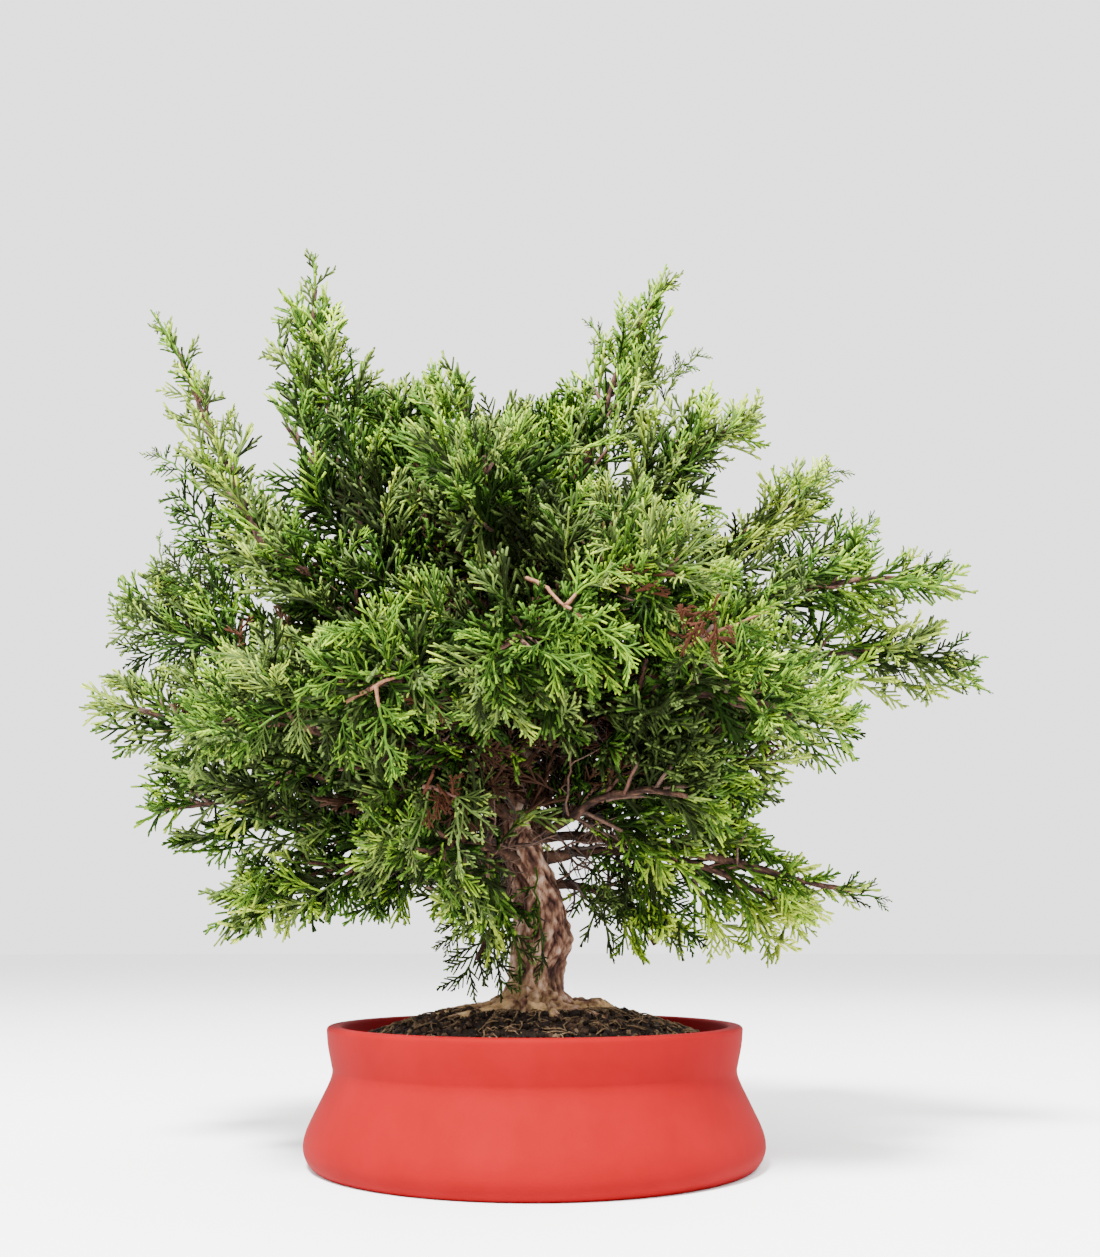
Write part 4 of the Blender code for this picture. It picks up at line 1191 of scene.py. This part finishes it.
def grow_stem_tip(crown, index, luck, chance):
    """Sprays along the outer stem and at the limb's tip, which they reach."""
    limb, curve = LIMBS[index], crown.curves[index]
    span = np.linalg.norm(on_curve(curve, 1) - on_curve(curve, limb.bare))
    roll = chance.uniform(0, 6)
    place = span * 0.35
    while place < span - 10:
        t = stem_at(limb, place / span)
        ahead = heading(curve, t)
        slim = limb.reach * fullness(place / span) < SLIM
        way = tilted(ahead, side_of(ahead, roll), 0.6 if slim else 0.75, 0.1)
        kind = chance.choice(("small", "small", "tuft")) if slim else "comb"
        lighter, size = (-0.9, 0.8) if slim else (0.2, 1)
        put_spray(crown, index, kind, on_curve(curve, t), way, chance, luck + lighter, size)
        roll += GOLDEN_ANGLE
        place += (SLIM_EVERY if slim else STEM_EVERY) * chance.uniform(0.8, 1.2)
    tip = on_curve(curve, 1)
    root = on_curve(curve, 1 - TIP_SPRAY / span * (1 - limb.bare))
    way = unit(tip - root)
    tone = painted_light_tone_at(crown, tip, way, luck)
    scale = np.linalg.norm(tip - root) / SPRAYS["tip"][0].length * 0.95
    crown.add_spray("tip", root, way, chance.uniform(0, 3), scale, tone, heavy=True)
    joint = np.linspace(on_curve(curve, stem_at(limb, 0.86)), root + way * 3, 5)
    crown.add_cord(joint, 1.2, 1.0, tone)


def build_crown(curves):
    crown = Crown(curves)
    for index in range(len(LIMBS)):
        grow_inner(crown, index)
        grow_mass(crown, index)
    for number, shoot in enumerate(SHOOTS):
        grow_shoot(crown, number, shoot)
    for number, clump in enumerate(RUSTY):
        grow_rust(crown, number, *clump)
    pieces = []
    for name, heaps in crown.colours.items():
        leaf = new_material(name, FOLIAGE[name], roughness=0.6, specular=0.04)[0]
        for k, heap in enumerate(heaps):
            if heap.points:
                pieces.append(heap.make(f"{name}_{k + 1}"))
                finish_piece(pieces[-1], leaf)
    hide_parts(*nodes_named("foliage_"))
    for kind, heap in crown.twigs.items():
        finish_piece(heap.make(kind), twig_material(kind, *TWIG_LOOKS[kind]))


# Pot and soil


def arc(centre, radius, start, end, count):
    """Points (r, z) on an arc about a centre, between two angles in degrees."""
    return [
        (centre[0] + radius * math.cos(a), centre[1] + radius * math.sin(a))
        for a in (math.radians(start + (end - start) * k / (count - 1)) for k in range(count))
    ]


def pot_outline():
    """The wall's outline as (r, z), from the rim down outside and up inside."""
    rim_z = POT_HEIGHT - LIP
    side = [
        (RIM_R, rim_z),
        (RIM_R - 0.6, WAIST_Z + 8.5),
        (WAIST_R + 0.45, WAIST_Z + 3.0),
        (WAIST_R, WAIST_Z + 0.4),
        (WAIST_R + 0.9, WAIST_Z - 3.0),
        (WAIST_R + 4.2, WAIST_Z - 10.0),
        (BELLY_R - 0.9, BELLY_Z + 4.5),
        (BELLY_R - 0.05, BELLY_Z),
        (BELLY_R - 0.9, BELLY_Z - 3.2),
        (FOOT_R + 0.9, 0.7),
        (FOOT_R, 0.0),
    ]
    outline = arc((RIM_R - LIP, rim_z), LIP, 90, 0, 6)
    outline += [tuple(smooth_through(side, k / 60)) for k in range(1, 61)]
    outline += [(0.0, 0.0), (0.0, FLOOR), (FOOT_R - WALL - 2.0, FLOOR), (BELLY_R - WALL, FLOOR + 4.0)]
    outline += [(WAIST_R - WALL, WAIST_Z), (RIM_R - WALL, rim_z)]
    return outline + arc((RIM_R - WALL + LIP, rim_z), LIP, 180, 90, 6)


def drain_cutter(pot, x):
    """A cylinder that is cut out of the pot's floor."""
    place, depth = (x * MM, 0, 0), 4 * FLOOR * MM
    bpy.ops.mesh.primitive_cylinder_add(vertices=48, radius=DRAIN_R * MM, depth=depth, location=place)
    hole = pot.modifiers.new("Hole", "BOOLEAN")
    hole.operation = "DIFFERENCE"
    hole.object = bpy.context.object
    return hole.object


def build_pot():
    """The pot's shell as a fine turned mesh, with its drain holes."""
    profile = bmesh.new()
    corners = [profile.verts.new((r * MM, 0, z * MM)) for r, z in pot_outline()]
    for a, b in zip(corners, corners[1:] + corners[:1]):
        profile.edges.new((a, b))
    pot = placed("pot_clay", mesh_from(profile, "pot_clay"))
    turn = pot.modifiers.new("Turn", "SCREW")
    turn.steps = turn.render_steps = POT_STEPS
    turn.use_merge_vertices = True
    turn.merge_threshold = 0.00002
    turn.use_smooth_shade = True
    cutters = [drain_cutter(pot, x) for x in (-DRAIN_X, DRAIN_X)]
    whole = bpy.data.meshes.new_from_object(pot.evaluated_get(bpy.context.evaluated_depsgraph_get()))
    pot.modifiers.clear()
    pot.data = whole
    for cutter in cutters:
        bpy.data.objects.remove(cutter)
    whole.materials.clear()
    finish_piece(pot, pot_material(), smooth=False)
    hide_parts("pot")


def soil_height(r):
    return float(np.interp(r, *zip(*SOIL_SIDE)))


def build_soil():
    """The soil's rough surface, with granules and litter on it."""
    rings, sides = 90, 240
    edge = SOIL_SIDE[-1][0]
    points = [(0, 0, soil_height(0))]
    for k in range(1, rings + 1):
        r = edge * k / rings
        for i in range(sides):
            a = TURN * i / sides
            x, y = r * math.cos(a), r * math.sin(a)
            lumps = noise.fractal(Vector((x * 0.22, y * 0.22, 4.0)), 0.8, 2.1, 4)
            points.append((x, y, soil_height(r) + lumps * SOIL_GRAIN - SOIL_SUNK))
    faces = [(0, 1 + i, 1 + (i + 1) % sides) for i in range(sides)]
    faces = np.vstack([faces, np.array(ring_faces(rings, sides))[:, ::-1] + 1])
    bed = mesh_object("soil_bed", np.array(points), faces)
    finish_piece(bed, soil_material("soil_bed", *BED_LOOK), smooth=False)
    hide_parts("soil")
    chance = random.Random(SOIL_SEED)
    build_granules(edge, chance)
    build_litter(chance)


def granule_shape():
    """A unit icosahedron as points and triangles."""
    shape = bmesh.new()
    bmesh.ops.create_icosphere(shape, subdivisions=1, radius=1.0)
    points = np.array([v.co[:] for v in shape.verts])
    faces = np.array([[v.index for v in f.verts] for f in shape.faces])
    shape.free()
    return points, faces


def build_granules(edge, chance):
    """Granules of three colours."""
    ball, faces = granule_shape()
    heaps = {name: Heap() for name in GRANULE_LOOKS}
    names = ("granules_dark",) * 5 + ("granules_brown",) * 4 + ("granules_tan",)
    for _ in range(GRANULES):
        r = edge * math.sqrt(chance.random()) - EDGE_SPARE
        a = chance.uniform(0, TURN)
        size = 0.45 + 1.1 * chance.random() ** 2.5
        shape = ball * np.array([size * chance.uniform(0.6, 1.2) for _ in range(3)])
        turn = chance.uniform(0, 6.3)
        axis = Vector((chance.random(), 1, 1))
        shape = shape @ np.array(Matrix.Rotation(turn, 3, axis)).T
        centre = np.array([r * math.cos(a), r * math.sin(a), soil_height(max(r, 0)) - 0.1])
        heaps[chance.choice(names)].add(shape + centre, faces)
    for name, heap in heaps.items():
        finish_piece(heap.make(name), soil_material(name, *GRANULE_LOOKS[name]))


def build_litter(chance):
    """Loose fibres on the soil."""
    heap = Heap()
    for _ in range(LITTER):
        r, a = 58 * math.sqrt(chance.random()), chance.uniform(0, TURN)
        way = chance.uniform(0, TURN)
        length = chance.uniform(3, 13)
        path = []
        for k in range(6):
            way += chance.uniform(-0.4, 0.4)
            x = r * math.cos(a) + k * length / 5 * math.cos(way)
            y = r * math.sin(a) + k * length / 5 * math.sin(way)
            if math.hypot(x, y) > 60:
                break
            path.append((x, y, soil_height(math.hypot(x, y)) + 0.6 + 0.5 * math.sin(k * 1.3)))
        if len(path) > 3:
            heap.add(*tube(path, [0.22, 0.26, 0.24, 0.2, 0.16, 0.1][: len(path)], 4))
    finish_piece(heap.make("soil_fibres"), soil_material("soil_fibres", *LITTER_LOOK), smooth=False)


# Stage


def build_stage():
    shape = bmesh.new()
    bmesh.ops.create_circle(shape, cap_ends=True, segments=96, radius=FLOOR_R)
    floor = placed("floor", mesh_from(shape, "floor"))
    floor.data.materials.append(new_material("floor_pale", FLOOR_GREY, roughness=0.9)[0])
    world = bpy.data.worlds.new("studio")
    world.use_nodes = True
    background = world.node_tree.nodes["Background"]
    set_inputs(world.node_tree, background, {"Color": (1, 1, 1, 1), "Strength": WORLD_STRENGTH})
    bpy.context.scene.world = world
    for light in LIGHTS:
        add_light(*light)


def add_light(name, place, size, power):
    data = bpy.data.lights.new(name, "AREA")
    data.shape = "DISK"
    data.size = size
    data.energy = power
    light = placed(name, data)
    light.location = place
    light.rotation_euler = (Vector(LIT_POINT) - Vector(place)).to_track_quat("-Z", "Y").to_euler()


def build_camera():
    """The photograph's view: low, close and pitched up a little."""
    data = bpy.data.cameras.new("camera")
    data.lens = LENS
    data.sensor_width = 36.0
    camera = placed("camera", data)
    camera.location = CAMERA_AT
    camera.rotation_euler = (math.radians(90 + CAMERA_PITCH), 0, 0)
    bpy.context.scene.camera = camera


def main():
    noise.seed_set(STEM_SEED)
    curves = [limb_curve(limb) for limb in LIMBS]
    bark = bark_material("bark_trunk", TRUNK_BARK)
    trunk = build_trunk()
    finish_piece(trunk, bark)
    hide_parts("trunk")
    finish_piece(build_roots(), bark)
    boughs = build_boughs(curves)
    # The boughs' bark is painted darker, as shade
    finish_piece(boughs, bark_material("bark_bough_painted_shade", SHADED_BOUGH_BARK))
    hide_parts(*nodes_named("bough_"))
    build_crown(curves)
    build_pot()
    build_soil()
    build_stage()
    build_camera()


main()
